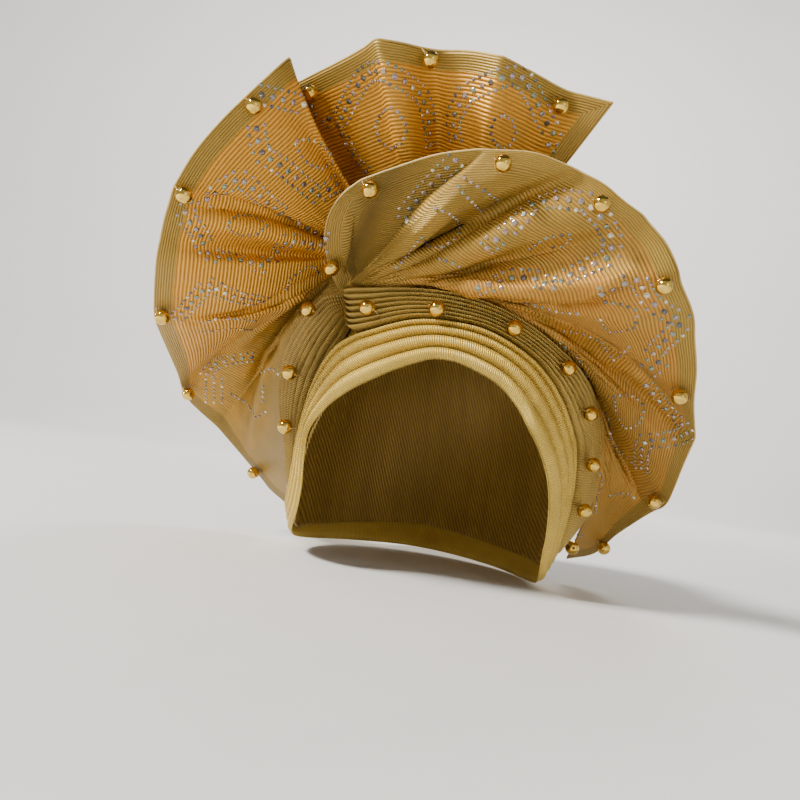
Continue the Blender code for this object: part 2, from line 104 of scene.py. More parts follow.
# How fine the meshes are: lengths between columns, and counts of rows. A fan's first rows run from its seat
# on the cap to its neck.
FAN_COLUMN_STEP = 0.0014
FAN_ROWS = 56
SEAT_ROWS = 2
BAND_COLUMN_STEP = 0.0014
PLEAT_ROWS = 11
INSIDE_ROWS = 4
CAP_COLUMNS = 240
CAP_RINGS = 150
HEM_SIDES = 7
BALL_SIDES = 28
BALL_RINGS = 15
BALLS = 27

# Rim of the cap: turn from the front in degrees, height as a share of CROWN_HEIGHT
CAP_RIM = (
    (0, 0.52), (20, 0.46), (34, 0.33), (45, 0.17), (53, -0.02), (60, -0.26),
    (72, -0.50), (90, -0.56), (120, -0.56), (180, -0.50),
)

# Bands: turn and height of the lower and upper edges, and how far the band stands off as a share of
# PLEAT_STACK
FOREHEAD_ROWS = (
    (-3, 0.45, -5, 0.65, 0.45),
    (5, 0.45, 4, 0.65, 0.45),
    (13, 0.42, 15, 0.64, 0.45),
    (22, 0.37, 26, 0.60, 0.45),
    (30, 0.28, 38, 0.53, 0.45),
    (36, 0.18, 49, 0.41, 0.45),
    (43, 0.07, 59, 0.25, 0.45),
    (50, -0.07, 65, 0.15, 0.45),
    (55, -0.21, 68, -0.01, 0.45),
    (59, -0.35, 69, -0.20, 0.45),
    (65, -0.52, 72, -0.40, 0.42),
    (80, -0.65, 86, -0.50, 0.40),
    (105, -0.69, 108, -0.52, 0.38),
    (140, -0.68, 140, -0.49, 0.38),
    (180, -0.66, 180, -0.46, 0.38),
    (220, -0.66, 220, -0.46, 0.36),
    (255, -0.64, 253, -0.48, 0.33),
    (280, -0.58, 276, -0.44, 0.31),
    (298, -0.46, 292, -0.34, 0.30),
    (306, -0.30, 299, -0.18, 0.30),
    (307, -0.13, 302, -0.03, 0.32),
    (308, 0.02, 305, 0.12, 0.35),
    (317, 0.15, 308, 0.29, 0.40),
    (326, 0.24, 314, 0.46, 0.45),
    (335, 0.31, 321, 0.53, 0.45),
    (343, 0.37, 330, 0.57, 0.45),
    (351, 0.42, 344, 0.63, 0.45),
)
CROWN_ROWS = (
    (-42, 0.54, -50, 0.735, 1.05),
    (-37, 0.55, -42, 0.75, 1.00),
    (-30, 0.57, -33, 0.755, 0.90),
    (-16, 0.63, -20, 0.765, 0.80),
    (-5, 0.65, -5, 0.77, 0.75),
    (4, 0.65, 7, 0.76, 0.75),
    (15, 0.64, 20, 0.735, 0.75),
    (26, 0.60, 33, 0.685, 0.77),
    (38, 0.53, 47, 0.61, 0.80),
    (49, 0.41, 60, 0.54, 0.85),
    (59, 0.25, 73, 0.44, 0.92),
    (65, 0.15, 78, 0.28, 1.00),
    (68, -0.01, 81, 0.08, 1.03),
    (69, -0.20, 82, -0.12, 0.98),
    (72, -0.40, 84, -0.28, 0.85),
    (86, -0.50, 92, -0.36, 0.70),
    (108, -0.52, 110, -0.38, 0.60),
    (140, -0.49, 140, -0.33, 0.55),
    (180, -0.46, 180, -0.28, 0.55),
    (220, -0.46, 220, -0.29, 0.52),
    (253, -0.48, 250, -0.33, 0.46),
    (276, -0.44, 271, -0.30, 0.42),
)
# The crown band's pleats draw together at the knot, where the front fan's gather line runs on as it was
CROWN_BAND_ROWS = (
    (-46.5, 0.672, -50, 0.735, 1.05),
    (-40.5, 0.572, -45.5, 0.747, 1.02),
) + CROWN_ROWS[1:]
LEFT_ROWS = (
    (-48.8, 0.665, -53, 0.745, 1.15),
    (-47.2, 0.575, -58, 0.68, 1.15),
    (-48.2, 0.47, -64, 0.60, 1.15),
    (-50, 0.37, -70, 0.47, 1.08),
    (-52.5, 0.29, -73, 0.33, 0.98),
    (-56, 0.12, -72, 0.14, 0.75),
    (-59, -0.03, -70, -0.02, 0.50),
    (-62, -0.18, -69, -0.16, 0.35),
    (-69, -0.32, -75, -0.28, 0.30),
)

# Small waves of the pleats' edges at the right temple: turn of their middle, spread, wave length and size
RUFFLE_TURN = 50
RUFFLE_SPREAD = 16
RUFFLE_WAVE = 0.0020
RUFFLE_SIZE = 1.6

# Slow waves, as (size, waves per turn, shift from one pleat to the next): of the pleats' edges, of their
# fullness, and of the wraps at the back of the cap
EDGE_WAVES = ((1.0, 3, 2.1), (0.6, 7, 4.4))
SWELL_WAVES = ((0.25, 5, 1.7), (0.12, 11, 3.3))
WRAP_WAVES = ((0.30, 2, 1.1), (0.10, 5, 0.0))

# How a rolled pleat leans over its top edge, and how square its crown is
PLEAT_LEAN = 1.25
PLEAT_CROWN = 0.75

# Turn at the back of the head where a closed band's weave starts and ends
SEAM_TURN = 180

# Slanting wraps at the back of the cap: how far they stand proud, how many there are up a crown height, the
# turn over which they climb by one, the share of each that its rise takes, how fast it falls off above, and
# how much they swell
WRAP_LIFT = 0.0032
WRAPS = 4.4
WRAP_SLANT = 80
WRAP_RISE = 0.07
WRAP_FALL = 0.8
WRAP_SWELL = 0.25
# They are full within this turn from the back and fade over the next, and fade between these heights, where
# other cloth lies on them, over the shares that follow
WRAP_TURN, WRAP_TURN_FADE = 30, 45
WRAP_LOW, WRAP_LOW_FADE = -0.24, 0.08
WRAP_TOP, WRAP_TOP_FADE = 0.97, 0.20

# An open band's ends are drawn in by this share, over this length
END_DROP = 0.28
END_LENGTH = 0.004

# What is left of its stand at the very edge of a band whose lower edge is rounded, how much deeper the groove
# is at the lower edge, how much the pleats swell along the band, and the least cloth left over the head side
EDGE_SHARE = 0.22
EDGE_DEPTH = 1.2
PLEAT_SWELL = 0.04
LEAST_CLOTH = 0.0006


class Band(NamedTuple):
    """Shape of a wound band: the rows of its edges, where each pleat ends as a share across from the lower
    edge, how far its lower edge stands off as a share of its row's stand, how deep its grooves, how full its
    pleats, how far their edges wander, over what share across its lower edge is rounded, whether it closes
    round the head, and the gap along its lower edge."""
    rows: tuple
    pleats: tuple
    low: float
    groove: float
    fullness: float
    wander: float
    round_edge: float = 0.0
    closed: bool = False
    edge_gap: float = EDGE_GAP


FOREHEAD_BAND = Band(
    FOREHEAD_ROWS, (0.32, 0.62, 0.86, 1.0), low=0.60, groove=0.0042, fullness=2.6, wander=0.010,
    closed=True, edge_gap=0.0,
)
CROWN_BAND = Band(
    CROWN_BAND_ROWS, (0.15, 0.29, 0.44, 0.58, 0.73, 0.87, 1.0), low=0.50, groove=0.0044, fullness=2.2,
    wander=0.006,
)
LEFT_BAND = Band(
    LEFT_ROWS, (0.09, 0.18, 0.28, 0.39, 0.52, 0.67, 0.83, 1.0), low=0.45, groove=0.0050, fullness=2.0,
    wander=0.006, round_edge=0.34,
)

# Line that the back fan is gathered on, as shares of the head's half breadth, half length and crown height
BACK_GATHER = (
    (-1.06, -0.12, -0.22),
    (-1.09, 0.00, -0.05),
    (-1.08, 0.10, 0.28),
    (-1.02, 0.20, 0.64),
    (-0.90, 0.29, 0.89),
    (-0.85, 0.33, 0.97),
    (-0.80, 0.39, 1.04),
    (-0.73, 0.43, 1.10),
    (-0.56, 0.43, 1.13),
    (-0.34, 0.43, 1.09),
    (-0.14, 0.43, 1.03),
    (0.00, 0.43, 1.01),
    (0.13, 0.41, 0.97),
)

# Spokes of a fan, one row for each fold: where it springs from along its gather line, where it meets
# the rim (turn about the hub, reach, forward), how its middle bows sideways and to the front, and crease
BACK_SPOKES = (
    (0.0, -141, 1.01, -0.36, 0.0, 0.0, 0),
    (1.0, -134, 1.05, -0.46, 0.0, 0.0, 0),
    (2.0, -131, 1.06, -0.49, 0.3, 0.3, 0),
    (3.0, -127.5, 1.075, -0.51, 0.7, 0.8, 0),
    (3.9, -124, 1.09, -0.51, 1.0, 1.3, 1),
    (4.2, -113.5, 1.16, -0.45, 0.3, -1.0, 1),
    (4.5, -106, 1.25, -0.32, 0.6, 1.0, 0),
    (4.8, -101.6, 1.21, -0.06, -0.2, 0.2, 0),
    (5.1, -95, 1.15, 0.40, -1.1, 0.0, 0),
    (5.35, -93, 1.13, 0.51, -1.2, -0.8, 1),
    (5.6, -90, 1.10, 0.62, -0.9, 0.4, 1),
    (5.9, -85, 1.06, 0.77, -0.5, 0.7, 0),
    (6.1, -81, 1.045, 0.83, -0.2, -0.4, 0),
    (6.3, -78, 1.03, 0.89, 0.2, 0.5, 0),
    (6.5, -75, 1.02, 0.93, 0.5, -0.5, 1),
    (6.7, -72.5, 1.02, 0.95, 0.4, 0.5, 1),
    (7.35, -65, 1.01, 0.97, 0.0, 0.4, 0),
    (7.6, -57, 1.00, 0.98, 0.0, 0.4, 0),
    (7.9, -49, 1.00, 0.98, 0.0, 0.3, 0),
    (8.2, -43, 1.01, 0.98, -0.2, -0.4, 0),
    (8.5, -39.1, 1.04, 0.94, -0.6, 0.5, 1),
    (8.8, -39.1, 1.085, 0.66, -1.2, -1.4, 1),
    (9.3, -27, 0.97, 0.91, 0.1, 0.1, 0),
    (9.9, -22.5, 0.95, 1.00, 0.0, 0.8, 1),
    (10.2, -18, 0.93, 0.98, 0.0, 0.2, 0),
    (10.5, -11, 0.92, 0.92, 0.0, -0.6, 0),
    (10.9, -3.3, 0.90, 0.95, 0.0, 0.0, 0),
    (11.2, 4, 0.87, 1.00, 0.0, 0.6, 1),
    (11.4, 11.6, 0.88, 0.92, 0.0, 0.0, 0),
    (11.6, 18.7, 0.90, 0.85, 0.0, -0.4, 0),
    (11.8, 24.5, 0.92, 0.85, 0.0, 0.2, 1),
    (12.0, 29, 0.94, 0.86, 0.0, 0.0, 0),
)
FRONT_SPOKES = (
    (0.0, -45.5, 0.513, 0.86, -0.8, 0.6, 0),
    (0.15, -39.5, 0.51, 0.875, 0.2, 0.9, 1),
    (0.35, -28, 0.49, 0.905, 0.0, 0.3, 0),
    (0.55, -12, 0.493, 0.935, 0.0, -0.1, 0),
    (0.75, 2, 0.505, 0.965, 0.1, -0.6, 1),
    (0.85, 6, 0.508, 0.97, 0.1, 0.9, 1),
    (1.05, 20, 0.54, 0.985, 0.0, 1.0, 0),
    (1.25, 32, 0.565, 0.985, -0.5, 0.8, 1),
    (1.35, 35, 0.575, 0.975, -0.5, -0.7, 1),
    (1.6, 42, 0.595, 0.98, -0.2, 0.4, 0),
    (1.9, 49, 0.61, 0.98, 0.0, 0.7, 0),
    (2.2, 55, 0.64, 0.972, 0.1, 0.5, 1),
    (2.35, 57, 0.645, 0.966, 0.1, -0.6, 1),
    (2.9, 63, 0.67, 0.955, 0.2, -0.3, 0),
    (3.5, 67.5, 0.682, 0.945, 0.5, 0.3, 0),
    (3.9, 71, 0.69, 0.935, 0.7, 0.9, 1),
    (4.15, 73.5, 0.695, 0.915, 0.7, -0.5, 1),
    (4.7, 80.6, 0.737, 0.86, 0.3, -0.2, 0),
    (5.1, 86, 0.76, 0.795, 0.0, 0.0, 0),
    (5.4, 92, 0.80, 0.70, -0.4, 0.0, 0),
    (5.7, 98.5, 0.838, 0.605, -0.8, 0.2, 0),
    (6.0, 104.4, 0.907, 0.49, -1.2, 0.9, 1),
    (6.5, 106.5, 0.92, 0.43, -1.0, -1.0, 1),
    (7.4, 108.8, 0.935, 0.37, -0.6, -0.3, 0),
    (8.2, 111, 0.95, 0.32, -0.3, 0.2, 0),
    (9.4, 117, 1.005, 0.154, 0.0, 0.4, 0),
    (10.3, 119.5, 1.0, 0.08, 0.3, -0.7, 1),
    (11.0, 122, 0.997, 0.00, 0.0, 0.0, 0),
    (11.8, 128, 1.00, -0.16, 0.0, 0.0, 0),
    (12.6, 134, 1.02, -0.28, 0.0, 0.0, 0),
    (13.2, 140, 0.98, -0.32, 0.0, 0.0, 0),
)

# Colour of a fan along its spokes: spoke place, share of olive at the neck and at the rim, strength of ribs,
# and how much painted shade darkens the cloth there, on panels turned away from the light and on low parts
# under it. The olive share mixes the shot cloth's two real colours and is partly painted sheen: its spread
# stands in for the colour that the light brings out of the shot cloth.
BACK_TINTS = (
    (0, 0.90, 0.80, 0.15, 0.38),
    (3, 0.85, 0.75, 0.20, 0.38),
    (5, 0.70, 0.60, 0.40, 0.25),
    (7, 0.55, 0.25, 0.90, 0.05),
    (8, 0.55, 0.15, 1.00, 0.00),
    (12, 0.05, 0.05, 1.00, 0.00),
    (20, 0.05, 0.05, 1.00, 0.00),
    (22, 0.50, 0.10, 1.00, 0.00),
    (26, 0.15, 0.05, 1.00, 0.00),
    (31, 0.45, 0.35, 0.70, 0.00),
)
FRONT_TINTS = (
    (0, 0.95, 0.95, 0.60, 0.10),
    (1, 0.90, 0.90, 1.00, 0.30),
    (2, 0.85, 0.90, 1.00, 0.50),
    (3, 0.85, 0.90, 1.00, 0.10),
    (4, 0.85, 0.90, 1.00, 0.00),
    (6, 0.90, 0.85, 1.00, 0.00),
    (12, 0.60, 0.60, 1.00, 0.00),
    (16, 0.25, 0.30, 1.00, 0.00),
    (20, 0.30, 0.35, 0.90, 0.05),
    (24, 0.50, 0.40, 0.80, 0.10),
    (27, 0.50, 0.45, 0.45, 0.10),
    (30, 0.55, 0.55, 0.15, 0.15),
)

# Folds gathered in at the neck of a fan: width of one along the neck, depth, and how far out they run
PUCKER_WIDTH = 0.0042
PUCKER_DEPTH = 0.0007
PUCKER_REACH = 0.55
# The share of the way out over which they rise, how fast they fade, and how far and at what size they sway
PUCKER_START = 0.10
PUCKER_FADE = 1.5
PUCKER_SWAY, SWAY_SIZE = 0.8, 0.018
# Soft waves all over the cloth: their size and depth, and the shares at the neck and rim where they fade
SOFT_SIZE = 0.030
SOFT_DEPTH = 0.0006
SOFT_NECK, SOFT_RIM = 0.2, 0.1

# Folds that the photograph shows on a fan, each along a line of its pixels: how far the cloth comes out
# there (or goes in, where it is negative), the fold's half width, both in millimetres, and the line from
# the gather outwards
BACK_FOLDS = (
    (-3.0, 3.0, ((362, 180), (350, 165), (335, 130), (311, 71))),
    (-4.5, 6.5, ((347, 176), (332, 148), (316, 126))),
    (3.0, 6.0, ((405, 149), (399, 92), (390, 70), (377, 40))),
    (-3.0, 4.0, ((439, 150), (437, 100), (433, 49))),
    (2.5, 6.0, ((492, 147), (497, 100), (502, 55))),
    (-4.0, 2.2, ((327, 235), (292, 223), (265, 210), (226, 198), (181, 196))),
    (3.5, 5.5, ((327, 248), (290, 238), (245, 223), (190, 214))),
    (-1.5, 6.0, ((325, 260), (300, 258), (250, 252), (200, 250), (160, 250))),
    (-3.5, 2.6, ((327, 273), (288, 291), (265, 305), (230, 318), (194, 323), (163, 314))),
    (3.0, 5.0, ((297, 296), (254, 330), (236, 350))),
    (-4.0, 3.0, ((304, 306), (280, 336), (262, 362), (250, 385))),
    (3.0, 4.5, ((301, 316), (276, 350), (267, 370), (258, 416), (247, 462))),
)
FRONT_FOLDS = (
    (-2.6, 1.6, ((356, 289), (355, 250), (354, 220), (352, 186))),
    (-4.5, 8.0, ((366, 268), (378, 230), (388, 196))),
    (5.5, 6.0, ((362, 285), (401, 250), (440, 208), (470, 176))),
    (-6.0, 2.6, ((358, 296), (395, 275), (431, 254), (488, 217), (530, 192), (566, 174))),
    (4.0, 5.5, ((380, 291), (435, 268), (495, 240), (548, 210))),
    (-4.5, 2.4, ((372, 297), (413, 286), (462, 274), (506, 256), (540, 238))),
    (3.0, 5.5, ((420, 288), (470, 281), (530, 268), (590, 245))),
    (3.0, 2.8, ((470, 289), (520, 293), (554, 298), (583, 296), (604, 287), (626, 274), (650, 262))),
    (-5.0, 2.2, ((385, 298), (430, 294), (470, 296), (510, 303), (556, 309), (592, 305), (616, 294),
                 (650, 274))),
    (3.5, 3.4, ((486, 304), (527, 321), (573, 340), (602, 354), (636, 370), (662, 400), (690, 435))),
    (-5.0, 3.6, ((510, 326), (548, 343), (585, 362), (618, 388), (640, 420))),
    (-4.0, 2.6, ((590, 392), (604, 428), (619, 458), (634, 490), (650, 512))),
    (3.0, 5.0, ((570, 380), (588, 420), (603, 460), (614, 505))),
)
# The end of a fold that lies towards the rim fades over this share of its length. A fold that goes in has a
# sharper edge than one that comes out, and no fold is deeper than the limit.
FOLD_FADE = 0.35
CREASE_POWER = 0.70
FOLD_LIMIT = 0.0055
# Folds rise over this share of the way out from the neck, and over the last of it fall to a share of
# themselves
NECK_FADE = 0.12
RIM_FADE = 0.2
RIM_SHARE = 0.35
# Where a fold would turn the cloth steeper than this (the cosine), it and the cloth near it are eased by a
# share, round after round
STEEPEST = 0.25
CALM_ROUNDS = 9
CALM_SPREAD = 3
CALM_EASE = 0.3
CALM_FALL = 0.9
# A fold fades out within this distance of a ball, which stays sewn down
BALL_CALM = 0.008

# Ribs and borders of the cloth, in millimetres
FAN_RIB = 1.9
BORDER_WIDTH = 9.0
BORDER_LINE = 1.25
FOREHEAD_RIB = 1.15
ROPE_RIB = 0.95
CAP_RIB = 1.9
# The cap's ribs run across this direction, over a form about as round as this radius
CAP_ROUND = 0.110
RIB_DIRECTION = (0.94, 0.0, 0.34)
HEM_RADIUS = 0.00045
THREAD_RADIUS = 0.00022
THREAD_SIDES = 5

# Look of the cloth: how strong the dark lines between ribs, the lines of a border and the painted shade in
# the grooves between pleats are, and how tall the ribs and the threads stand in the relief, in metres
LINE_SHADE = 0.75
BORDER_SHADE = 0.7
PAINTED_GROOVE_SHADE = 0.8
FAN_RELIEF, FAN_THREADS = 0.0005, 0.00012
BAND_RELIEF, BAND_THREADS = 0.00035, 0.0001

# Colours of the cloths, and of the lines in their grooves
ORANGE, FRONT_ORANGE, ORANGE_LINE = (0.84, 0.41, 0.036), (0.64, 0.31, 0.045), (0.26, 0.085, 0.012)
OLIVE, CAP_OLIVE, OLIVE_LINE = (0.45, 0.28, 0.042), (0.46, 0.30, 0.060), (0.14, 0.080, 0.018)
PALE, PALE_LINE = (0.84, 0.60, 0.105), (0.36, 0.21, 0.040)
# The left pleats' olive is the wound olive made darker, as painted shade
WOUND_OLIVE, SHADED_LEFT_OLIVE, WOUND_LINE = (0.72, 0.49, 0.110), (0.60, 0.40, 0.090), (0.15, 0.085, 0.020)
HEM, HEM_SHADE = (0.66, 0.48, 0.19), (0.50, 0.34, 0.12)
THREAD, THREAD_SHADE = (0.55, 0.38, 0.14), (0.40, 0.26, 0.09)
GOLD, WORN_GOLD = (0.80, 0.54, 0.11), (0.55, 0.33, 0.05)
CUP, CUP_LIGHT = (0.03, 0.018, 0.010), (0.10, 0.06, 0.03)
PAPER, PAPER_LIGHT = (0.76, 0.75, 0.73), (0.80, 0.79, 0.77)

# Tints of the crystal stones: where each starts between 0 and 1, and its colour
CRYSTAL_TINTS = (
    (0.0, (0.27, 0.26, 0.24)), (0.22, (0.33, 0.26, 0.27)), (0.40, (0.22, 0.27, 0.20)),
    (0.56, (0.38, 0.28, 0.22)), (0.72, (0.62, 0.58, 0.46)), (0.84, (0.12, 0.12, 0.13)),
)

# Studio: each light's name, place, aim, size, power and colour, then the world, and the radius and height of
# the floor
SUBJECT = (-0.01, -0.06, 0.05)
LIGHTS = (
    ("key", (-1.60, -0.95, 1.55), SUBJECT, 0.50, 122, (1.0, 0.97, 0.91)),
    ("fill", (1.2, -1.8, 0.45), SUBJECT, 0.9, 2.5, (1.0, 0.98, 0.96)),
    ("rim", (0.5, 1.4, 1.5), SUBJECT, 0.8, 16, (1.0, 0.98, 0.95)),
    ("backdrop", (0.0, 1.6, 2.4), (0.0, 4.0, 0.9), 1.2, 110, (1.0, 0.99, 0.97)),
)
WORLD_COLOUR = (0.93, 0.94, 0.96)
WORLD_STRENGTH = 0.12
FLOOR_PROFILE = (
    (0.6, 0.0), (1.5, 0.0), (2.6, 0.0), (3.2, 0.10), (3.7, 0.42), (4.0, 1.0), (4.1, 2.0), (4.1, 4.5),
)
FLOOR_SIDES = 72
FLOOR_GAP = 0.0005

# Camera of the photograph, which is 800 pixels square
IMAGE_SIDE = 800
FOCAL = 800
CAMERA_AZIMUTH = 3.0
CAMERA_ELEVATION = -4.0
CAMERA_ROLL = 8.3
CAMERA_TARGET = (-0.017, -0.095, 0.022)
CAMERA_DISTANCE = 0.380
SENSOR = 36

# Gold balls, in shares of their radius: the rolled bore at each end, how far from the pole the round part
# starts and ends in degrees, the way that the bore leans, and where the thread runs
BALL_BORE = ((0.17, 0.80), (0.17, 0.93), (0.20, 0.975))
BALL_START = 14
BORE_LEAN = (0.35, 0.10, 0.93)
THREAD_PATH = ((0.80, 0.0), (1.04, 0.0), (1.16, 0.35))
THREAD_FOOT = 1.15
THREAD_SINK = 0.0004

# Crystal stones: radius of the small and large ones, spacing along a row, and between the rows of a band
SMALL_STONE = 0.00078
LARGE_STONE = 0.00120
SMALL_PITCH = 0.0036
LARGE_PITCH = 0.0057
ROW_SPACING = 0.0041
STONE_SIDES = 8
# A stone's cup and cut crown, as radius and height in shares of its radius, and how far each stone is turned
STONE_RINGS = ((1.20, -0.20), (1.20, 0.20), (0.98, 0.24), (0.58, 0.62))
STONE_TURN = 0.37
# A row breaks where the cloth jumps by more than this, runs across the line between points this far on either
# side, and drops a stone that would sit further than this off the cloth, or nearer to another than this share
ROW_BREAK = 0.005
ROW_LOOK = 0.003
STONE_OFF = 0.0014
STONE_ROOM = 1.05

# Bands of stones, as lines that the photograph shows, in its pixels. A triple band has a row of large
# stones between two rows of small ones, and a single band is one row of small stones.
TRIPLE_BANDS = (
    ((206, 200), (222, 188), (240, 178), (252, 188), (265, 201), (283, 214), (301, 225), (327, 239)),
    ((193, 197), (185, 212), (190, 223), (199, 232), (203, 243), (208, 253), (222, 258), (243, 260),
     (263, 266), (276, 253), (288, 241), (307, 243), (327, 246)),
    ((258, 94), (276, 98), (296, 103), (315, 107)),
    ((256, 125), (258, 141), (263, 155), (283, 167), (301, 182), (318, 196), (338, 183)),
    ((327, 117), (342, 132), (351, 151), (358, 164), (368, 173)),
    ((340, 120), (348, 103), (361, 80), (370, 72), (382, 71), (404, 81), (421, 94), (427, 110),
     (430, 130), (430, 149)),
    ((456, 141), (453, 127), (454, 115), (466, 93), (484, 85), (504, 77), (520, 75), (530, 89),
     (538, 104), (543, 117), (553, 133), (547, 149)),
    ((174, 320), (186, 309), (202, 291), (210, 284), (220, 291), (238, 298), (263, 302)),
    ((206, 375), (215, 364), (233, 359), (254, 357)),
    ((456, 160), (439, 176), (423, 194), (407, 212), (407, 224)),
    ((484, 251), (498, 238), (518, 220), (533, 204), (557, 198), (587, 202), (603, 220), (613, 240),
     (610, 257), (587, 267), (565, 277), (555, 289), (537, 279), (514, 277), (488, 285), (474, 289)),
    ((598, 296), (617, 287), (636, 279), (642, 287), (651, 302), (665, 312), (682, 321), (674, 333),
     (661, 344), (653, 354), (659, 363), (648, 371)),
    ((644, 383), (657, 398), (667, 410), (681, 423), (687, 433), (676, 438), (659, 441), (646, 440),
     (641, 451), (641, 470)),
)
SINGLE_BANDS = (
    ((227, 225), (236, 216), (247, 215), (260, 219), (267, 226), (258, 234), (243, 236), (230, 231),
     (227, 225)),
    ((295, 141), (306, 139), (320, 143), (330, 152), (333, 163), (322, 169), (308, 164), (299, 153),
     (295, 141)),
    ((390, 107), (400, 114), (407, 128), (403, 142), (391, 149), (380, 142), (375, 128), (380, 114),
     (390, 107)),
    ((503, 115), (512, 120), (516, 132), (512, 144), (503, 149), (494, 143), (490, 131), (494, 120),
     (503, 115)),
    ((202, 323), (220, 318), (238, 319), (256, 321)),
    ((204, 332), (220, 330), (238, 329), (254, 330)),
    ((286, 289), (290, 280), (297, 273), (306, 268), (315, 266), (318, 273)),
    ((206, 378), (206, 403)),
    ((214, 378), (214, 403)),
    ((222, 378), (222, 403)),
    ((229, 393), (238, 398), (247, 403), (256, 418), (267, 411)),
    ((261, 373), (272, 368), (279, 375)),
    ((263, 386), (263, 402)),
    ((462, 176), (480, 188), (498, 200), (482, 212), (470, 200), (458, 188), (462, 176)),
    ((435, 208), (448, 213), (458, 220), (460, 229), (458, 236), (443, 247), (429, 247), (421, 236)),
    ((419, 240), (408, 254), (399, 265), (395, 269)),
    ((439, 259), (450, 262), (460, 267)),
    ((530, 249), (538, 243), (547, 238), (569, 234), (571, 240), (562, 247), (553, 247)),
    ((604, 302), (620, 304), (636, 310), (637, 320), (634, 329), (611, 333), (604, 327), (600, 319)),
    ((523, 302), (535, 306), (547, 309), (560, 313), (579, 314)),
    ((562, 331), (574, 332), (586, 335), (602, 342), (607, 351), (613, 361), (622, 354), (630, 346)),
    ((558, 342), (568, 350), (577, 358), (584, 370), (590, 381)),
    ((614, 397), (625, 394), (636, 397), (642, 404), (644, 413), (640, 422), (632, 428), (624, 428),
     (616, 414), (614, 397)),
    ((606, 413), (609, 421), (610, 432), (611, 443), (618, 450), (626, 456), (636, 468)),
    ((599, 473), (603, 480), (600, 490), (596, 499), (596, 513)),
    ((609, 496), (618, 494), (626, 493), (634, 498)),
    ((574, 534), (583, 536)),
)


def section(height, stand):
    """Half breadth and half length of the head at a height, with a layer standing off it."""
    if height >= 0:
        top = CROWN_HEIGHT + stand
        rest = max(1 - (height / top) ** CROWN_FULLNESS, 0.0)
        share = rest ** (1 / CROWN_FULLNESS)
        return (HEAD_HALF_BREADTH + stand) * share, (HEAD_HALF_LENGTH + stand) * share
    down = (height / NAPE_DEPTH) ** 2
    breadth = HEAD_HALF_BREADTH * (1 - NAPE_BREADTH_LOSS * down) + stand
    length = HEAD_HALF_LENGTH * (1 - NAPE_LENGTH_LOSS * down) + stand
    return breadth, length


def on_head(turn, height, stand):
    """Point at a turn from the front (degrees, to +X) and a height share, standing off the head."""
    share = height * (1 + max(height, 0) ** 3 * stand / CROWN_HEIGHT)
    z = share * CROWN_HEIGHT
    breadth, length = section(z, stand)
    angle = math.radians(turn)
    return np.array((breadth * math.sin(angle), -length * math.cos(angle), z))


def hermite(values, places, part, t, crease):
    """Cubic through the rows of values, with a corner at each row whose crease is 1."""
    span = places[part + 1] - places[part]
    chord = (values[part + 1] - values[part]) / span
    slopes = []
    for row in (part, part + 1):
        if 0 < row < len(values) - 1:
            smooth = (values[row + 1] - values[row - 1]) / (places[row + 1] - places[row - 1])
            slopes.append(smooth * (1 - crease[row]) + chord * crease[row])
        else:
            slopes.append(chord)
    a, b = values[part], values[part + 1]
    t2, t3 = t * t, t * t * t
    return (
        (2 * t3 - 3 * t2 + 1) * a
        + (t3 - 2 * t2 + t) * span * slopes[0]
        + (3 * t2 - 2 * t3) * b
        + (t3 - t2) * span * slopes[1]
    )


def along(values, place):
    """Values at a place along a table, counted in rows, smoothed through the rows."""
    values = np.asarray(values, float)
    part = min(int(place), len(values) - 2)
    return hermite(values, np.arange(len(values), dtype=float), part, place - part, np.zeros(len(values)))


def cap_seat(point):
    """Point where the line from a point to the middle of the head meets the cloth laid on the cap."""
    stand = HEAD_EASE + CAP_WALL + SEAT_GAP
    near, far = 0.0, 1.0
    for _ in range(20):
        share = (near + far) / 2
        x, y, z = point * share
        breadth, length = section(min(z, CROWN_HEIGHT + stand), stand)
        inside = z < CROWN_HEIGHT + stand and (x / breadth) ** 2 + (y / length) ** 2 < 1
        near, far = (share, far) if inside else (near, share)
    return point * far


def across_band(row, across, stand):
    """Point a share of the way from a band's lower edge to its upper edge, standing off the head."""
    low_turn, low_height, top_turn, top_height = row[:4]
    turn = low_turn + (top_turn - low_turn) * across
    height = low_height + (top_height - low_height) * across
    return on_head(turn, height, stand)


def back_gather(root):
    """Seat on the cap and neck of the back fan at a place along its gather line."""
    neck = along(BACK_GATHER, root) * (HEAD_HALF_BREADTH, -HEAD_HALF_LENGTH, CROWN_HEIGHT)
    return cap_seat(neck), neck


def front_gather(root):
    """Seat and neck of the front fan at a row place of the crown band, just past the band's outer edge."""
    row = along(CROWN_ROWS, root)
    stand = row[4] * PLEAT_STACK
    low = across_band(row, 0, stand)
    neck = across_band(row, 1, stand)
    beyond = (neck - low) / np.linalg.norm(neck - low) * FAN_EDGE_GAP
    foot = across_band(row, 1, HEAD_EASE + CAP_WALL + SEAT_GAP)
    return foot + beyond, neck + beyond


def spoke_ends(spokes, gather, reach):
    """Place on the gather line, rim point and bow of each spoke of a fan, as one row of numbers."""
    ends = []
    for root, turn, out, forward, side, front, _ in spokes:
        neck = gather(root)[1]
        angle = math.radians(turn)
        rim = np.array((
            out * reach * math.sin(angle),
            -forward * FAN_FORWARD,
            FAN_HUB_HEIGHT + out * reach * math.cos(angle),
        ))
        way = rim - neck
        across = np.array((way[2], 0.0, -way[0])) / math.hypot(way[0], way[2])
        bow = (across * side + np.array((0.0, -front, 0.0))) * FAN_BOW
        ends.append(np.concatenate(((root,), rim, bow)))
    return np.array(ends)


def smoothed(grid, times):
    """Grid of points with its columns eased into their neighbours, so that creases are rounded."""
    for _ in range(times):
        eased = grid.copy()
        eased[1:-1] = grid[:-2] * 0.25 + grid[1:-1] * 0.5 + grid[2:] * 0.25
        grid = eased
    return grid


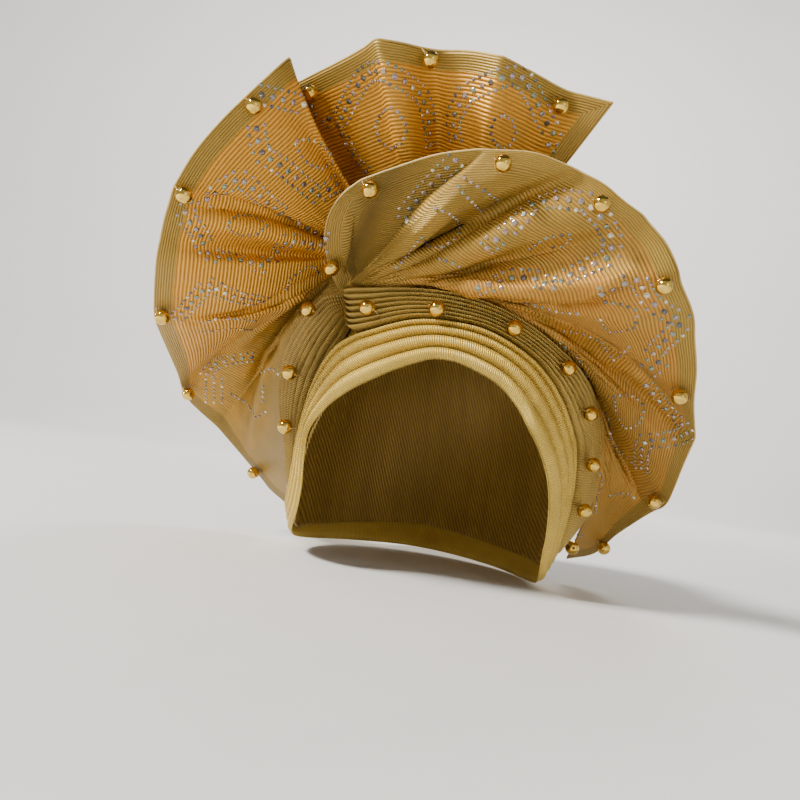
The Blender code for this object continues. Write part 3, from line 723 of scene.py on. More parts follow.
def lengths(points, axis):
    """Distance run along one axis of a grid of points, from its first row."""
    steps = np.linalg.norm(np.diff(points, axis=axis), axis=2)
    start = np.zeros_like(np.take(steps, [0], axis=axis))
    return np.concatenate((start, np.cumsum(steps, axis=axis)), axis=axis)


def grid_normals(points):
    """Unit normals of a grid of points, across column and row."""
    normal = np.cross(np.gradient(points, axis=0), np.gradient(points, axis=1))
    return normal / np.maximum(np.linalg.norm(normal, axis=2, keepdims=True), 1e-12)
def run_along(line):
    """Distance run at each point of a line."""
    return np.concatenate(((0,), np.cumsum(np.linalg.norm(np.diff(line, axis=0), axis=1))))


def out_shares(grid):
    """How far out from its neck to its rim each row of a fan's grid is, from 0 to 1."""
    return np.clip((np.arange(grid.shape[1]) - SEAT_ROWS) / FAN_ROWS, 0, 1)


class Fan(NamedTuple):
    """What a fan is built from, and whether its rim's border and hem go on down its first side or last."""
    spokes: tuple
    gather: object
    reach: float
    folds: tuple
    tints: tuple
    first_side: bool


def fan_grid(fan):
    """Columns of points of a fan's middle surface, seat to rim, and each column's place in spokes."""
    ends = spoke_ends(fan.spokes, fan.gather, fan.reach)
    rows = np.arange(len(ends), dtype=float)
    crease = [row[-1] for row in fan.spokes]
    places = []
    for part in range(len(ends) - 1):
        steps = max(3, math.ceil(np.linalg.norm(ends[part + 1, 1:4] - ends[part, 1:4]) / FAN_COLUMN_STEP))
        places += [part + step / steps for step in range(steps)]
    places.append(len(ends) - 1.0)
    v = (np.arange(FAN_ROWS + 1) / FAN_ROWS)[:, None]
    grid = []
    for place in places:
        part = min(int(place), len(ends) - 2)
        found = hermite(ends, rows, part, place - part, crease)
        seat, neck = fan.gather(found[0])
        rim = found[1:4]
        middle = (neck + rim) / 2 + 2 * found[4:]
        line = (1 - v) ** 2 * neck + 2 * v * (1 - v) * middle + v * v * rim
        grid.append(np.vstack((seat, seat * 0.5 + neck * 0.5, line)))
    return smoothed(np.array(grid), 2), np.array(places)


def wave(points, size, seed):
    """Smooth noise from -1 to 1 at each of some points, with features of about a size."""
    shift = Vector((seed * 7.3, seed * 3.1, seed * 5.7))
    flat = points.reshape(-1, 3)
    found = [noise.noise(Vector(point) / size + shift) for point in flat]
    return np.array(found).reshape(points.shape[:-1])


def grid_tree(grid):
    """One search tree over a grid of points."""
    columns, rows = grid.shape[:2]
    faces = []
    for column in range(columns - 1):
        for row in range(rows - 1):
            a, b = column * rows + row, (column + 1) * rows + row
            faces.append((a, b, b + 1, a + 1))
    return BVHTree.FromPolygons(grid.reshape(-1, 3).tolist(), faces)


def pixel_way(x, y):
    """Direction from the camera through a pixel of the photograph."""
    _, right, up, forward = camera_frame()
    way = forward + right * (x - IMAGE_SIDE / 2) / FOCAL - up * (y - IMAGE_SIDE / 2) / FOCAL
    return Vector(way).normalized()


def pixel_steps(path, step):
    """Pixels along a line, a step apart."""
    found = []
    for (x0, y0), (x1, y1) in zip(path, path[1:]):
        count = max(1, round(math.hypot(x1 - x0, y1 - y0) / step))
        found += [(x0 + (x1 - x0) * part / count, y0 + (y1 - y0) * part / count) for part in range(count)]
    return found + [path[-1]]


def folded(grid, folds, balls):
    """Fan grid with the folds of the photograph pushed out and in."""
    tree = grid_tree(grid)
    camera = Vector(camera_frame()[0])
    normal = grid_normals(grid)
    normal *= -np.sign(np.sum(normal[:, :, 1]))
    push = np.zeros(grid.shape[:2])
    for depth, width, path in folds:
        strongest = np.zeros(grid.shape[:2])
        pixels = pixel_steps(path, 3)
        power = 1.0 if depth > 0 else CREASE_POWER
        for number, (x, y) in enumerate(pixels):
            hit = tree.ray_cast(camera, pixel_way(x, y))[0]
            if hit is None:
                continue
            weight = min((1 - number / len(pixels)) / FOLD_FADE, 1.0)
            away = np.sum((grid - np.array(hit)) ** 2, axis=2) / (width / 1000) ** 2
            strongest = np.maximum(strongest, weight * np.exp(-away ** power))
        push += depth / 1000 * strongest
    push = FOLD_LIMIT * np.tanh(push / FOLD_LIMIT)
    out = out_shares(grid)
    near_rim = np.clip((out - (1 - RIM_FADE)) / RIM_FADE, 0, 1)
    push *= np.clip(out / NECK_FADE, 0, 1) * (1 - (1 - RIM_SHARE) * near_rim)
    for ball in balls:
        push *= 1 - np.exp(-np.sum((grid - ball) ** 2, axis=2) / BALL_CALM ** 2)
    for _ in range(CALM_ROUNDS):
        bend = np.sum(grid_normals(grid + normal * push[:, :, None]) * grid_normals(grid), axis=2)
        steep = (bend < STEEPEST).astype(float)
        for _ in range(CALM_SPREAD):
            for axis in (0, 1):
                beside = np.maximum(np.roll(steep, 1, axis), np.roll(steep, -1, axis))
                steep = np.maximum(steep, CALM_FALL * beside)
        push *= 1 - CALM_EASE * steep
    return grid + normal * push[:, :, None]


def puckered(grid):
    """Fan grid with the fine folds that the gather leaves near its neck."""
    run = run_along(grid[:, SEAT_ROWS])
    out = out_shares(grid)
    fade = np.clip(out / PUCKER_START, 0, 1) * np.clip(1 - out / PUCKER_REACH, 0, 1) ** PUCKER_FADE
    sway = wave(grid, SWAY_SIZE, seed=4) * PUCKER_SWAY
    folds = np.sin(2 * math.pi * (run[:, None] / PUCKER_WIDTH + sway))
    soft = wave(grid, SOFT_SIZE, seed=9)
    soft = soft * np.clip(out / SOFT_NECK, 0, 1) * np.clip((1 - out) / SOFT_RIM, 0, 1)
    push = folds * fade * PUCKER_DEPTH + soft * SOFT_DEPTH
    return grid + grid_normals(grid) * push[:, :, None]


def new_object(name, points, faces, materials, smooth=True):
    mesh = bpy.data.meshes.new(name)
    mesh.from_pydata(np.asarray(points).tolist(), [], faces)
    for material in materials:
        mesh.materials.append(material)
    mesh.polygons.foreach_set("use_smooth", [smooth] * len(mesh.polygons))
    thing = bpy.data.objects.new(name, mesh)
    bpy.context.scene.collection.objects.link(thing)
    return thing


def add_uv(thing, u, v, seam_faces=0, seam_u=0.0):
    """UV layer from a pair of numbers for each vertex. The last faces may close a ring, where u ends at
    seam_u."""
    layer = thing.data.uv_layers.new(name="weave")
    corners = np.zeros(len(thing.data.loops), int)
    thing.data.loops.foreach_get("vertex_index", corners)
    across = u[corners]
    if seam_faces:
        last = across[-4 * seam_faces:]
        last[last == 0] = seam_u
    layer.data.foreach_set("uv", np.column_stack((across, v[corners])).ravel())


def add_values(thing, name, values):
    """Named number for each vertex, for the material."""
    layer = thing.data.attributes.new(name, "FLOAT", "POINT")
    layer.data.foreach_set("value", np.asarray(values, np.float32))


def shell_faces(columns, rows):
    """Faces of a closed thin shell: a front and a back grid, joined round the edge."""
    size = columns * rows
    faces = []
    for column in range(columns - 1):
        for row in range(rows - 1):
            a, b = column * rows + row, (column + 1) * rows + row
            faces.append((a, b, b + 1, a + 1))
            faces.append((size + a, size + a + 1, size + b + 1, size + b))
    for column in range(columns - 1):
        a, b = column * rows, (column + 1) * rows
        faces.append((a, size + a, size + b, b))
        a, b = a + rows - 1, b + rows - 1
        faces.append((b, size + b, size + a, a))
    for row in range(rows - 1):
        faces.append((row + 1, size + row + 1, size + row, row))
        a = (columns - 1) * rows + row
        faces.append((a, size + a, size + a + 1, a + 1))
    return faces


def ring_faces(rings, sides, start=0, closed=False, turned=False):
    """Faces between rings that have their points in a row, from the point numbered start."""
    faces = []
    for ring in range(rings if closed else rings - 1):
        here = start + ring * sides
        after = start + (ring + 1) % rings * sides
        for side in range(sides):
            following = (side + 1) % sides
            face = (here + side, here + following, after + following, after + side)
            faces.append(face[:1] + face[:0:-1] if turned else face)
    return faces


def circle(sides, turned=0.0):
    """Cosine and sine for each corner of a regular shape."""
    angles = [2 * math.pi * (side + turned) / sides for side in range(sides)]
    return [(math.cos(angle), math.sin(angle)) for angle in angles]


def turned_profile(profile, sides, turned=0.0):
    """Rings of points round the z axis, one for each radius and height of a profile."""
    corners = circle(sides, turned)
    return [(out * cosine, out * sine, up) for out, up in profile for cosine, sine in corners]


def add_fan(name, fan, balls, material):
    """A stiff pleated fan as a closed thin shell. Gives the object and its middle surface."""
    grid, places = fan_grid(fan)
    grid = puckered(folded(grid, fan.folds, balls))
    columns, rows = grid.shape[:2]
    wall = grid_normals(grid) * FAN_WALL / 2
    points = np.concatenate([(grid + way * wall).reshape(-1, 3) for way in (1, -1)])
    thing = new_object(name, points, shell_faces(columns, rows), (material,))
    out = lengths(grid, 1)
    inset = out[:, -1:] - out
    run = lengths(grid, 0)
    rim_run = np.repeat(run[:, -1:], rows, axis=1)
    add_uv(thing, np.tile(rim_run.ravel(), 2), np.tile(inset.ravel(), 2))
    # Painted shade, olive share (partly painted sheen) and rib strength of each column, from the tint table
    table = np.array(fan.tints, float)
    neck_olive_and_sheen, rim_olive_and_sheen, ribs, painted_shade = (
        np.interp(places, table[:, 0], column)[:, None] for column in table.T[1:]
    )
    share = np.clip(1 - inset / inset[:, SEAT_ROWS:SEAT_ROWS + 1], 0, 1)
    values = {
        "edge": np.minimum(inset, run if fan.first_side else run[-1:] - run) * 1000,
        "olive_and_sheen": neck_olive_and_sheen + (rim_olive_and_sheen - neck_olive_and_sheen) * share,
        "ribs": ribs,
        "painted_shade": painted_shade,
    }
    for key, value in values.items():
        add_values(thing, key, np.tile(np.broadcast_to(value, inset.shape).ravel(), 2))
    return thing, grid


def tube(path, radius, sides, start):
    """Points and faces of a closed tube along a path."""
    path = np.asarray(path, float)
    tangent = np.gradient(path, axis=0)
    tangent /= np.maximum(np.linalg.norm(tangent, axis=1, keepdims=True), 1e-12)
    across = np.cross(tangent[0], (0.31, 0.52, 0.79))
    points = []
    for place, way in zip(path, tangent):
        across = across - way * np.dot(across, way)
        across /= np.linalg.norm(across)
        up = np.cross(way, across)
        points += [place + (across * cosine + up * sine) * radius for cosine, sine in circle(sides)]
    faces = ring_faces(len(path), sides, start)
    faces.append(tuple(reversed(range(start, start + sides))))
    last = start + (len(path) - 1) * sides
    faces.append(tuple(range(last, last + sides)))
    return points, faces


def add_tubes(name, paths, radius, sides, material):
    """Closed tubes along some paths, joined in one mesh."""
    points, faces = [], []
    for path in paths:
        more_points, more_faces = tube(path, radius, sides, len(points))
        points += more_points
        faces += more_faces
    return new_object(name, points, faces, (material,))


def add_hem(name, grid, fan, material):
    """Rolled pale hem along a fan's rim and down its bordered side."""
    side = grid[0 if fan.first_side else -1, SEAT_ROWS:]
    return add_tubes(name, (grid[:, -1], side), HEM_RADIUS, HEM_SIDES, material)


def band_table(rows, closed):
    """Smooth rows of a band about a column step apart, and how far along the band each is."""
    values = np.array(rows, float)
    if closed:
        turn = np.array((360.0, 0.0, 360.0, 0.0, 0.0))
        values = np.vstack((values[-1] - turn, values, values[0] + turn, values[1] + turn))
    places = np.arange(len(values), dtype=float)
    crease = np.zeros(len(values))
    middles = [across_band(row, 0.5, 0.0) for row in values]
    first, last = (1, len(values) - 2) if closed else (0, len(values) - 1)
    smooth = []
    for part in range(first, last):
        steps = max(1, round(np.linalg.norm(middles[part + 1] - middles[part]) / BAND_COLUMN_STEP))
        smooth += [hermite(values, places, part, step / steps, crease) for step in range(steps)]
    if closed:
        back = next(place for place, row in enumerate(smooth) if row[0] >= SEAM_TURN)
        smooth = smooth[back:] + smooth[:back]
    else:
        smooth.append(values[-1])
    centre = np.array([across_band(row, 0.5, row[4] * PLEAT_STACK) for row in smooth])
    return smooth, run_along(centre)


def roll(share, fullness):
    """Height of a rolled pleat across it, from 0 in the grooves to 1. It leans over its top edge."""
    lean = share ** PLEAT_LEAN
    return max(1 - abs(2 * lean - 1) ** fullness, 0.0) ** PLEAT_CROWN


def ripple(waves, angle, number=1):
    """Sum of a table of slow waves at an angle, for a pleat of a number."""
    return sum(size * math.sin(turns * angle + number * shift) for size, turns, shift in waves)


def volume(points, faces):
    """Six times the volume inside closed faces, which is below zero where they face inwards."""
    return sum(
        float(np.dot(points[face[0]], np.cross(points[face[step]], points[face[step + 1]])))
        for face in faces for step in range(1, len(face) - 1)
    )


def pleat_edges(band, row, distance, angle):
    """Shares across a band at which its pleats start and end, which wander a little along the band."""
    turn = (row[0] + 180) % 360 - 180
    near = math.exp(-((turn - RUFFLE_TURN) / RUFFLE_SPREAD) ** 2)
    edges = [0.0]
    for number, end in enumerate(band.pleats[:-1], 1):
        ruffle = near * math.sin(distance / RUFFLE_WAVE + number)
        edges.append(end + (ripple(EDGE_WAVES, angle, number) + RUFFLE_SIZE * ruffle) * band.wander)
    return edges + [1.0]


def pleat_ring(band, edges, full, inner, angle):
    """Ring of a band, up over its pleats and back down its head side: share across, stand and place in a
    pleat."""
    ring = []
    for number, (first, last) in enumerate(zip(edges, edges[1:])):
        swell = ripple(SWELL_WAVES, angle, number)
        for step in range(PLEAT_ROWS + (number == len(band.pleats) - 1)):
            share = step / PLEAT_ROWS
            across = first + (last - first) * share
            shoulder = math.sin(min(across / band.round_edge, 1.0) * math.pi / 2) if band.round_edge else 1.0
            rise = (band.low + (1 - band.low) * across) * (EDGE_SHARE + (1 - EDGE_SHARE) * shoulder)
            height = roll(share, band.fullness)
            depth = band.groove * (1 - height) * (1 if number or share > 0.5 else EDGE_DEPTH)
            lift = band.groove * PLEAT_SWELL * swell * height
            stand = inner + (full - inner) * rise - depth + lift
            ring.append((across, max(stand, inner + LEAST_CLOTH), number + share))
    return ring + [(step / INSIDE_ROWS, inner, 0.5) for step in range(INSIDE_ROWS, -1, -1)]


def add_band(name, band, material):
    """A pleated band of cloth wound round the head, as a closed hollow-backed form."""
    table, run = band_table(band.rows, band.closed)
    inner = HEAD_EASE + CAP_WALL + LAYER_GAP
    total = run[-1] + (BAND_COLUMN_STEP if band.closed else 0)
    points, u, v, rope = [], [], [], []
    for row, distance in zip(table, run):
        breadth = np.linalg.norm(across_band(row, 1, inner) - across_band(row, 0, inner))
        start = band.edge_gap / breadth
        angle = 2 * math.pi * distance / total
        from_end = 1.0 if band.closed else min(distance, run[-1] - distance)
        full = row[4] * PLEAT_STACK * (1 - END_DROP * math.exp(-(from_end / END_LENGTH) ** 2))
        ring = pleat_ring(band, pleat_edges(band, row, distance, angle), full, inner, angle)
        for across, stand, place in ring:
            points.append(across_band(row, start + (1 - start) * across, stand))
            u.append(distance)
            v.append(across * breadth)
            rope.append(place)
    size, loops = len(ring), len(table)
    faces = ring_faces(loops, size, closed=band.closed, turned=True)
    if not band.closed:
        faces.append(tuple(range(size)))
        faces.append(tuple(reversed(range((loops - 1) * size, loops * size))))
    if volume(points, faces) < 0:
        faces = [face[::-1] for face in faces]
    thing = new_object(name, points, faces, (material,))
    add_uv(thing, np.array(u), np.array(v), size if band.closed else 0, total)
    add_values(thing, "rope", rope)
    return thing


def clamp(value):
    return max(min(value, 1.0), 0.0)


def wrap(turn, height):
    """How far the slanting wraps at the back of the cap stand proud, and how near their lower edges this is,
    from 0 to 1, which the cap's cloth uses for painted shade along each wrap's edge."""
    angle = math.radians(turn)
    clear = clamp(1 - (abs(turn - 180) - WRAP_TURN) / WRAP_TURN_FADE)
    clear *= clamp((height - WRAP_LOW) / WRAP_LOW_FADE) * clamp((WRAP_TOP - height) / WRAP_TOP_FADE)
    share = (height * WRAPS + (turn - 180) / WRAP_SLANT + ripple(WRAP_WAVES, angle)) % 1.0
    swell = 1 + WRAP_SWELL * math.sin(height * 9 + angle * 3)
    lift = WRAP_LIFT * clear * swell * min(share / WRAP_RISE, 1.0) * (1 - share) ** WRAP_FALL
    return lift, clear * max(1 - min(share, 1 - share) / WRAP_RISE, 0.0)


def across_cap(point):
    """Length over the cap from side to side, which its ribs run across."""
    return CAP_ROUND * math.asin(float(np.dot(point, RIB_DIRECTION)) / CAP_ROUND)


def add_cap(material):
    """The close cap under the bands, open at the face and the neck, with slanting wraps at its back."""
    turns = [row[0] for row in CAP_RIM]
    heights = [row[1] for row in CAP_RIM]
    points, u, v, rope = [], [], [], []
    for stand in (HEAD_EASE, HEAD_EASE + CAP_WALL):
        for column in range(CAP_COLUMNS):
            turn = 360 * column / CAP_COLUMNS
            rim = float(np.interp(min(turn, 360 - turn), turns, heights))
            for ring in range(CAP_RINGS):
                up = math.sin(ring / CAP_RINGS * math.pi / 2)
                height = rim + (1 - rim) * up
                lift, near = wrap(turn, height) if stand > HEAD_EASE else (0.0, 0.0)
                points.append(on_head(turn, height, stand + lift))
                u.append(across_cap(points[-1]))
                v.append(turn / 360 * 0.5)
                # Painted shade: rope goes towards 1 near each wrap's lower edge, where the cap's cloth is
                # darkened
                rope.append(0.5 + 0.5 * near)
        points.append(np.array((0.0, 0.0, CROWN_HEIGHT + stand)))
        u.append(across_cap(points[-1]))
        v.append(0.0)
        rope.append(0.5)
    layer = CAP_COLUMNS * CAP_RINGS + 1
    faces = []
    for start, turned in ((0, True), (layer, False)):
        for column in range(CAP_COLUMNS):
            a = start + column * CAP_RINGS
            b = start + (column + 1) % CAP_COLUMNS * CAP_RINGS
            strip = [(a + ring, b + ring, b + ring + 1, a + ring + 1) for ring in range(CAP_RINGS - 1)]
            strip.append((a + CAP_RINGS - 1, b + CAP_RINGS - 1, start + layer - 1))
            faces += [face[::-1] for face in strip] if turned else strip
    for column in range(CAP_COLUMNS):
        a = column * CAP_RINGS
        b = (column + 1) % CAP_COLUMNS * CAP_RINGS
        faces.append((a, b, layer + b, layer + a))
    cap = new_object("cap_cloth", points, faces, (material,))
    add_uv(cap, np.array(u), np.array(v))
    add_values(cap, "rope", rope)
    return cap


def ball_centre(node):
    low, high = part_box(node)
    return np.array((low + high) / 2)


def add_ball(name, node, cloth, material):
    """A polished hollow ball with a rolled bore at each end, in the place of its CAD node. Its bore lies
    along the cloth. Gives the object and the paths of the thread that sews it down."""
    low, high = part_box(node)
    centre = ball_centre(node)
    radius = float(max(high - low)) / 2
    near = np.array(cloth.find_nearest(Vector(centre))[0])
    out = (centre - near) / np.linalg.norm(centre - near)
    axis = Vector(np.cross(out, BORE_LEAN)).normalized()
    threads = []
    for way in (np.array(axis), -np.array(axis)):
        foot = centre + way * radius * THREAD_FOOT - out * radius
        foot = np.array(cloth.find_nearest(Vector(foot))[0]) - out * THREAD_SINK
        path = [centre + way * radius * ahead - out * radius * down for ahead, down in THREAD_PATH]
        threads.append(path + [foot])
    profile = list(BALL_BORE)
    for ring in range(1, BALL_RINGS):
        angle = math.radians(BALL_START + (180 - 2 * BALL_START) * ring / BALL_RINGS)
        profile.append((math.sin(angle), math.cos(angle)))
    profile += [(wide, -up) for wide, up in reversed(BALL_BORE)]
    turn = axis.to_track_quat("Z", "Y").to_matrix()
    spots = turned_profile(profile, BALL_SIDES)
    points = [centre + np.array(turn @ (Vector(spot) * radius)) for spot in spots]
    faces = ring_faces(len(profile), BALL_SIDES, turned=True)
    last = (len(profile) - 1) * BALL_SIDES
    faces.append(tuple(range(BALL_SIDES)))
    faces.append(tuple(reversed(range(last, last + BALL_SIDES))))
    return new_object(name, points, faces, (material,)), threads


def camera_frame():
    """The camera's place, and its right, up and forward directions."""
    angles = (CAMERA_AZIMUTH, CAMERA_ELEVATION, CAMERA_ROLL)
    azimuth, elevation, rolled = (math.radians(angle) for angle in angles)
    level_share = math.cos(elevation)
    back = np.array((
        math.sin(azimuth) * level_share, -math.cos(azimuth) * level_share, math.sin(elevation),
    ))
    level = np.cross(-back, (0, 0, 1.0))
    level /= np.linalg.norm(level)
    lift = np.cross(level, -back)
    right = math.cos(rolled) * level + math.sin(rolled) * lift
    up = math.cos(rolled) * lift - math.sin(rolled) * level
    return np.array(CAMERA_TARGET) + back * CAMERA_DISTANCE, right, up, -back


def joined_tree(things):
    """One search tree over the meshes of several objects."""
    points, faces = [], []
    for thing in things:
        start = len(points)
        points += [vertex.co for vertex in thing.data.vertices]
        faces += [[start + corner for corner in face.vertices] for face in thing.data.polygons]
    return BVHTree.FromPolygons(points, faces)


def seen_points(path, trees):
    """Points on the cloth that the camera sees along a line of pixels: each with its fan, place, normal and
    distance."""
    camera = Vector(camera_frame()[0])
    found = []
    for x, y in pixel_steps(path, 1):
        best = None
        for name, tree in trees.items():
            hit, normal, _, distance = tree.ray_cast(camera, pixel_way(x, y))
            if hit is not None and (best is None or distance < best[3]):
                best = (name, np.array(hit), np.array(normal), distance)
        if best is not None:
            found.append(best)
    return found


def stone_rows(path, rows, trees):
    """Places for the stones of a band, as (fan, place, normal, radius)."""
    stones = []
    runs, current = [], []
    for point in seen_points(path, trees):
        if current and (
            point[0] != current[-1][0] or np.linalg.norm(point[1] - current[-1][1]) > ROW_BREAK
        ):
            runs.append(current)
            current = []
        current.append(point)
    runs.append(current)
    for run in runs:
        if len(run) < 3:
            continue
        fan = run[0][0]
        line = np.array([point[1] for point in run])
        normals = np.array([point[2] for point in run])
        gone = run_along(line)
        for offset, pitch, radius in rows:
            count = int(gone[-1] / pitch)
            for number in range(count + 1):
                distance = number * pitch + (gone[-1] - count * pitch) / 2
                behind, here, ahead = (
                    np.array([np.interp(distance + step, gone, line[:, part]) for part in range(3)])
                    for step in (-ROW_LOOK, 0, ROW_LOOK)
                )
                normal = normals[min(int(np.searchsorted(gone, distance)), len(run) - 1)]
                across = np.cross(ahead - behind, normal)
                size = np.linalg.norm(across)
                if size < 1e-9:
                    continue
                target = here + across / size * offset
                hit, face_normal, _, away = trees[fan].find_nearest(Vector(target))
                if away < STONE_OFF:
                    stones.append((fan, np.array(hit), np.array(face_normal), radius))
    return stones


def apart(stone, other):
    """Whether two stones sit on different fans or have room between them."""
    if stone[0] != other[0]:
        return True
    return np.linalg.norm(stone[1] - other[1]) > (stone[3] + other[3]) * STONE_ROOM


def thinned(stones):
    """Stones without those that would overlap one placed before."""
    kept = []
    for stone in stones:
        if all(apart(stone, other) for other in kept):
            kept.append(stone)
    return kept


def add_stones(name, stones, materials):
    """Foil-backed cut stones, each a low cup with a faceted crown and a flat table, joined in one mesh."""
    points, faces = [], []
    for number, (_, place, normal, radius) in enumerate(stones):
        start = len(points)
        turn = Vector(normal).to_track_quat("Z", "Y").to_matrix()
        for spot in turned_profile(STONE_RINGS, STONE_SIDES, number * STONE_TURN):
            points.append(place + np.array(turn @ (Vector(spot) * radius)))
        faces += ring_faces(len(STONE_RINGS), STONE_SIDES, start)
        last = start + (len(STONE_RINGS) - 1) * STONE_SIDES
        faces.append(tuple(range(last, last + STONE_SIDES)))
        faces.append(tuple(reversed(range(start, start + STONE_SIDES))))
    cup, crown = [1] * STONE_SIDES, [0] * (STONE_SIDES * (len(STONE_RINGS) - 2))
    thing = new_object(name, points, faces, materials, smooth=False)
    thing.data.polygons.foreach_set("material_index", (cup + crown + [0, 1]) * len(stones))
    return thing


class Nodes:
    """Short way to write a material's node tree."""

    def __init__(self, name, roughness, metallic):
        self.material = bpy.data.materials.new(name)
        self.material.use_nodes = True
        self.tree = self.material.node_tree
        self.shader = self.tree.nodes["Principled BSDF"]
        self.surface(Roughness=roughness, Metallic=metallic)

    def put(self, socket, value):
        """Link a value to a socket or set it there. A tuple is a colour and gets its alpha."""
        if isinstance(value, bpy.types.NodeSocket):
            self.tree.links.new(value, socket)
        elif isinstance(value, tuple):
            socket.default_value = (*value, 1)
        else:
            socket.default_value = value

    def fill(self, node, **inputs):
        for key, value in inputs.items():
            self.put(node.inputs[key.replace("_", " ")], value)
        return node

    def surface(self, **inputs):
        self.fill(self.shader, **inputs)

    def add(self, kind, **inputs):
        return self.fill(self.tree.nodes.new(kind), **inputs)

    def math(self, operation, first, second=0.0, third=0.0):
        node = self.tree.nodes.new("ShaderNodeMath")
        node.operation = operation
        for socket, value in zip(node.inputs, (first, second, third)):
            self.put(socket, value)
        return node.outputs[0]

    def rest(self, value):
        return self.math("SUBTRACT", 1.0, value)

    def mix(self, factor, first, second):
        node = self.tree.nodes.new("ShaderNodeMix")
        node.data_type = "RGBA"
        return self.fill(node, Factor=factor, A=first, B=second).outputs["Result"]

    def ramp(self, value, low, high):
        """0 below low and 1 above high, eased between."""
        node = self.tree.nodes.new("ShaderNodeMapRange")
        node.interpolation_type = "SMOOTHSTEP"
        return self.fill(node, Value=value, From_Min=low, From_Max=high).outputs["Result"]

    def attribute(self, name):
        node = self.tree.nodes.new("ShaderNodeAttribute")
        node.attribute_name = name
        return node.outputs["Fac"]

    def weave(self):
        """Millimetres along and across the cloth, from its UV layer."""
        node = self.tree.nodes.new("ShaderNodeUVMap")
        node.uv_map = "weave"
        parts = self.add("ShaderNodeSeparateXYZ", Vector=node.outputs["UV"])
        return [self.math("MULTIPLY", parts.outputs[axis], 1000.0) for axis in ("X", "Y")]

    def noise(self, x, y, x_size, y_size, detail=2.0):
        """Noise from 0 to 1 over the cloth, with features of these sizes in millimetres."""
        spot = self.add(
            "ShaderNodeCombineXYZ",
            X=self.math("DIVIDE", x, x_size), Y=self.math("DIVIDE", y, y_size),
        )
        node = self.add("ShaderNodeTexNoise", Vector=spot.outputs["Vector"], Scale=1.0, Detail=detail)
        return node.outputs["Fac"]

    def grain(self, scale, detail):
        """Noise from 0 to 1 through the object's own space, for what has no weave."""
        place = self.add("ShaderNodeTexCoord").outputs["Object"]
        return self.add("ShaderNodeTexNoise", Vector=place, Scale=scale, Detail=detail).outputs["Fac"]

    def ribs(self, distance, pitch):
        """Rib height from 0 in its groove to 1 on its back, at a distance across the ribs."""
        phase = self.math("MULTIPLY", distance, 2 * math.pi / pitch)
        return self.math("MULTIPLY_ADD", self.math("COSINE", phase), 0.5, 0.5)

    def tone(self, colour, value):
        """Colour made lighter or darker."""
        return self.add("ShaderNodeHueSaturation", Color=colour, Value=value).outputs["Color"]

    def bump(self, height, distance, **under):
        """Relief of a height in metres, over another relief where one is given as Normal."""
        return self.add("ShaderNodeBump", Height=height, Distance=distance, **under).outputs["Normal"]

    def sheen(self, amount, tint):
        self.surface(Sheen_Weight=amount, Sheen_Roughness=0.35, Sheen_Tint=tint)


def fan_cloth(name, bright):
    """Ribbed metallic cloth of a fan, with ribs along the rim and a lined border."""
    nodes = Nodes(name, 0.42, 0.35)
    x, y = nodes.weave()
    edge = nodes.attribute("edge")
    strength = nodes.attribute("ribs")
    sway = nodes.math("MULTIPLY_ADD", nodes.noise(x, y, 22.0, 14.0), 1.0, y)
    rib = nodes.ribs(sway, FAN_RIB)
    line = nodes.math("MULTIPLY", nodes.rest(nodes.ramp(rib, 0.0, 0.42)), strength)
    threads = nodes.noise(x, y, 0.22, 2.2)
    patch = nodes.noise(x, y, 16.0, 16.0, 3.0)
    # The olive share mixes the shot cloth's two real colours, and its spread over the fan is partly painted
    # sheen
    share = nodes.math("ADD", nodes.attribute("olive_and_sheen"), nodes.math("MULTIPLY_ADD", patch, 0.9, -0.45))
    share = nodes.ramp(share, 0.05, 0.95)
    groove = nodes.mix(share, ORANGE_LINE, OLIVE_LINE)
    body = nodes.mix(nodes.math("MULTIPLY", line, LINE_SHADE), nodes.mix(share, bright, OLIVE), groove)
    border_rib = nodes.ribs(edge, BORDER_LINE)
    border_line = nodes.rest(nodes.ramp(border_rib, 0.0, 0.50))
    border = nodes.mix(nodes.math("MULTIPLY", border_line, BORDER_SHADE), OLIVE, OLIVE_LINE)
    inside = nodes.ramp(edge, BORDER_WIDTH, BORDER_WIDTH + 0.3)
    # Painted shade: the cloth is made darker where a panel turns away from the light
    light = nodes.rest(nodes.attribute("painted_shade"))
    value = nodes.math("MULTIPLY", nodes.math("MULTIPLY_ADD", threads, 0.5, 0.75), light)
    height = nodes.math("MULTIPLY", rib, strength)
    lined = nodes.math("MULTIPLY", border_rib, 0.6)
    relief = nodes.add("ShaderNodeMix", Factor=inside, A=lined, B=height).outputs["Result"]
    nodes.surface(
        Base_Color=nodes.tone(nodes.mix(inside, border, body), value),
        Roughness=nodes.math("MULTIPLY_ADD", threads, 0.25, 0.32),
        Normal=nodes.bump(threads, FAN_THREADS, Normal=nodes.bump(relief, FAN_RELIEF)),
    )
    nodes.sheen(0.08, bright)
    return nodes.material


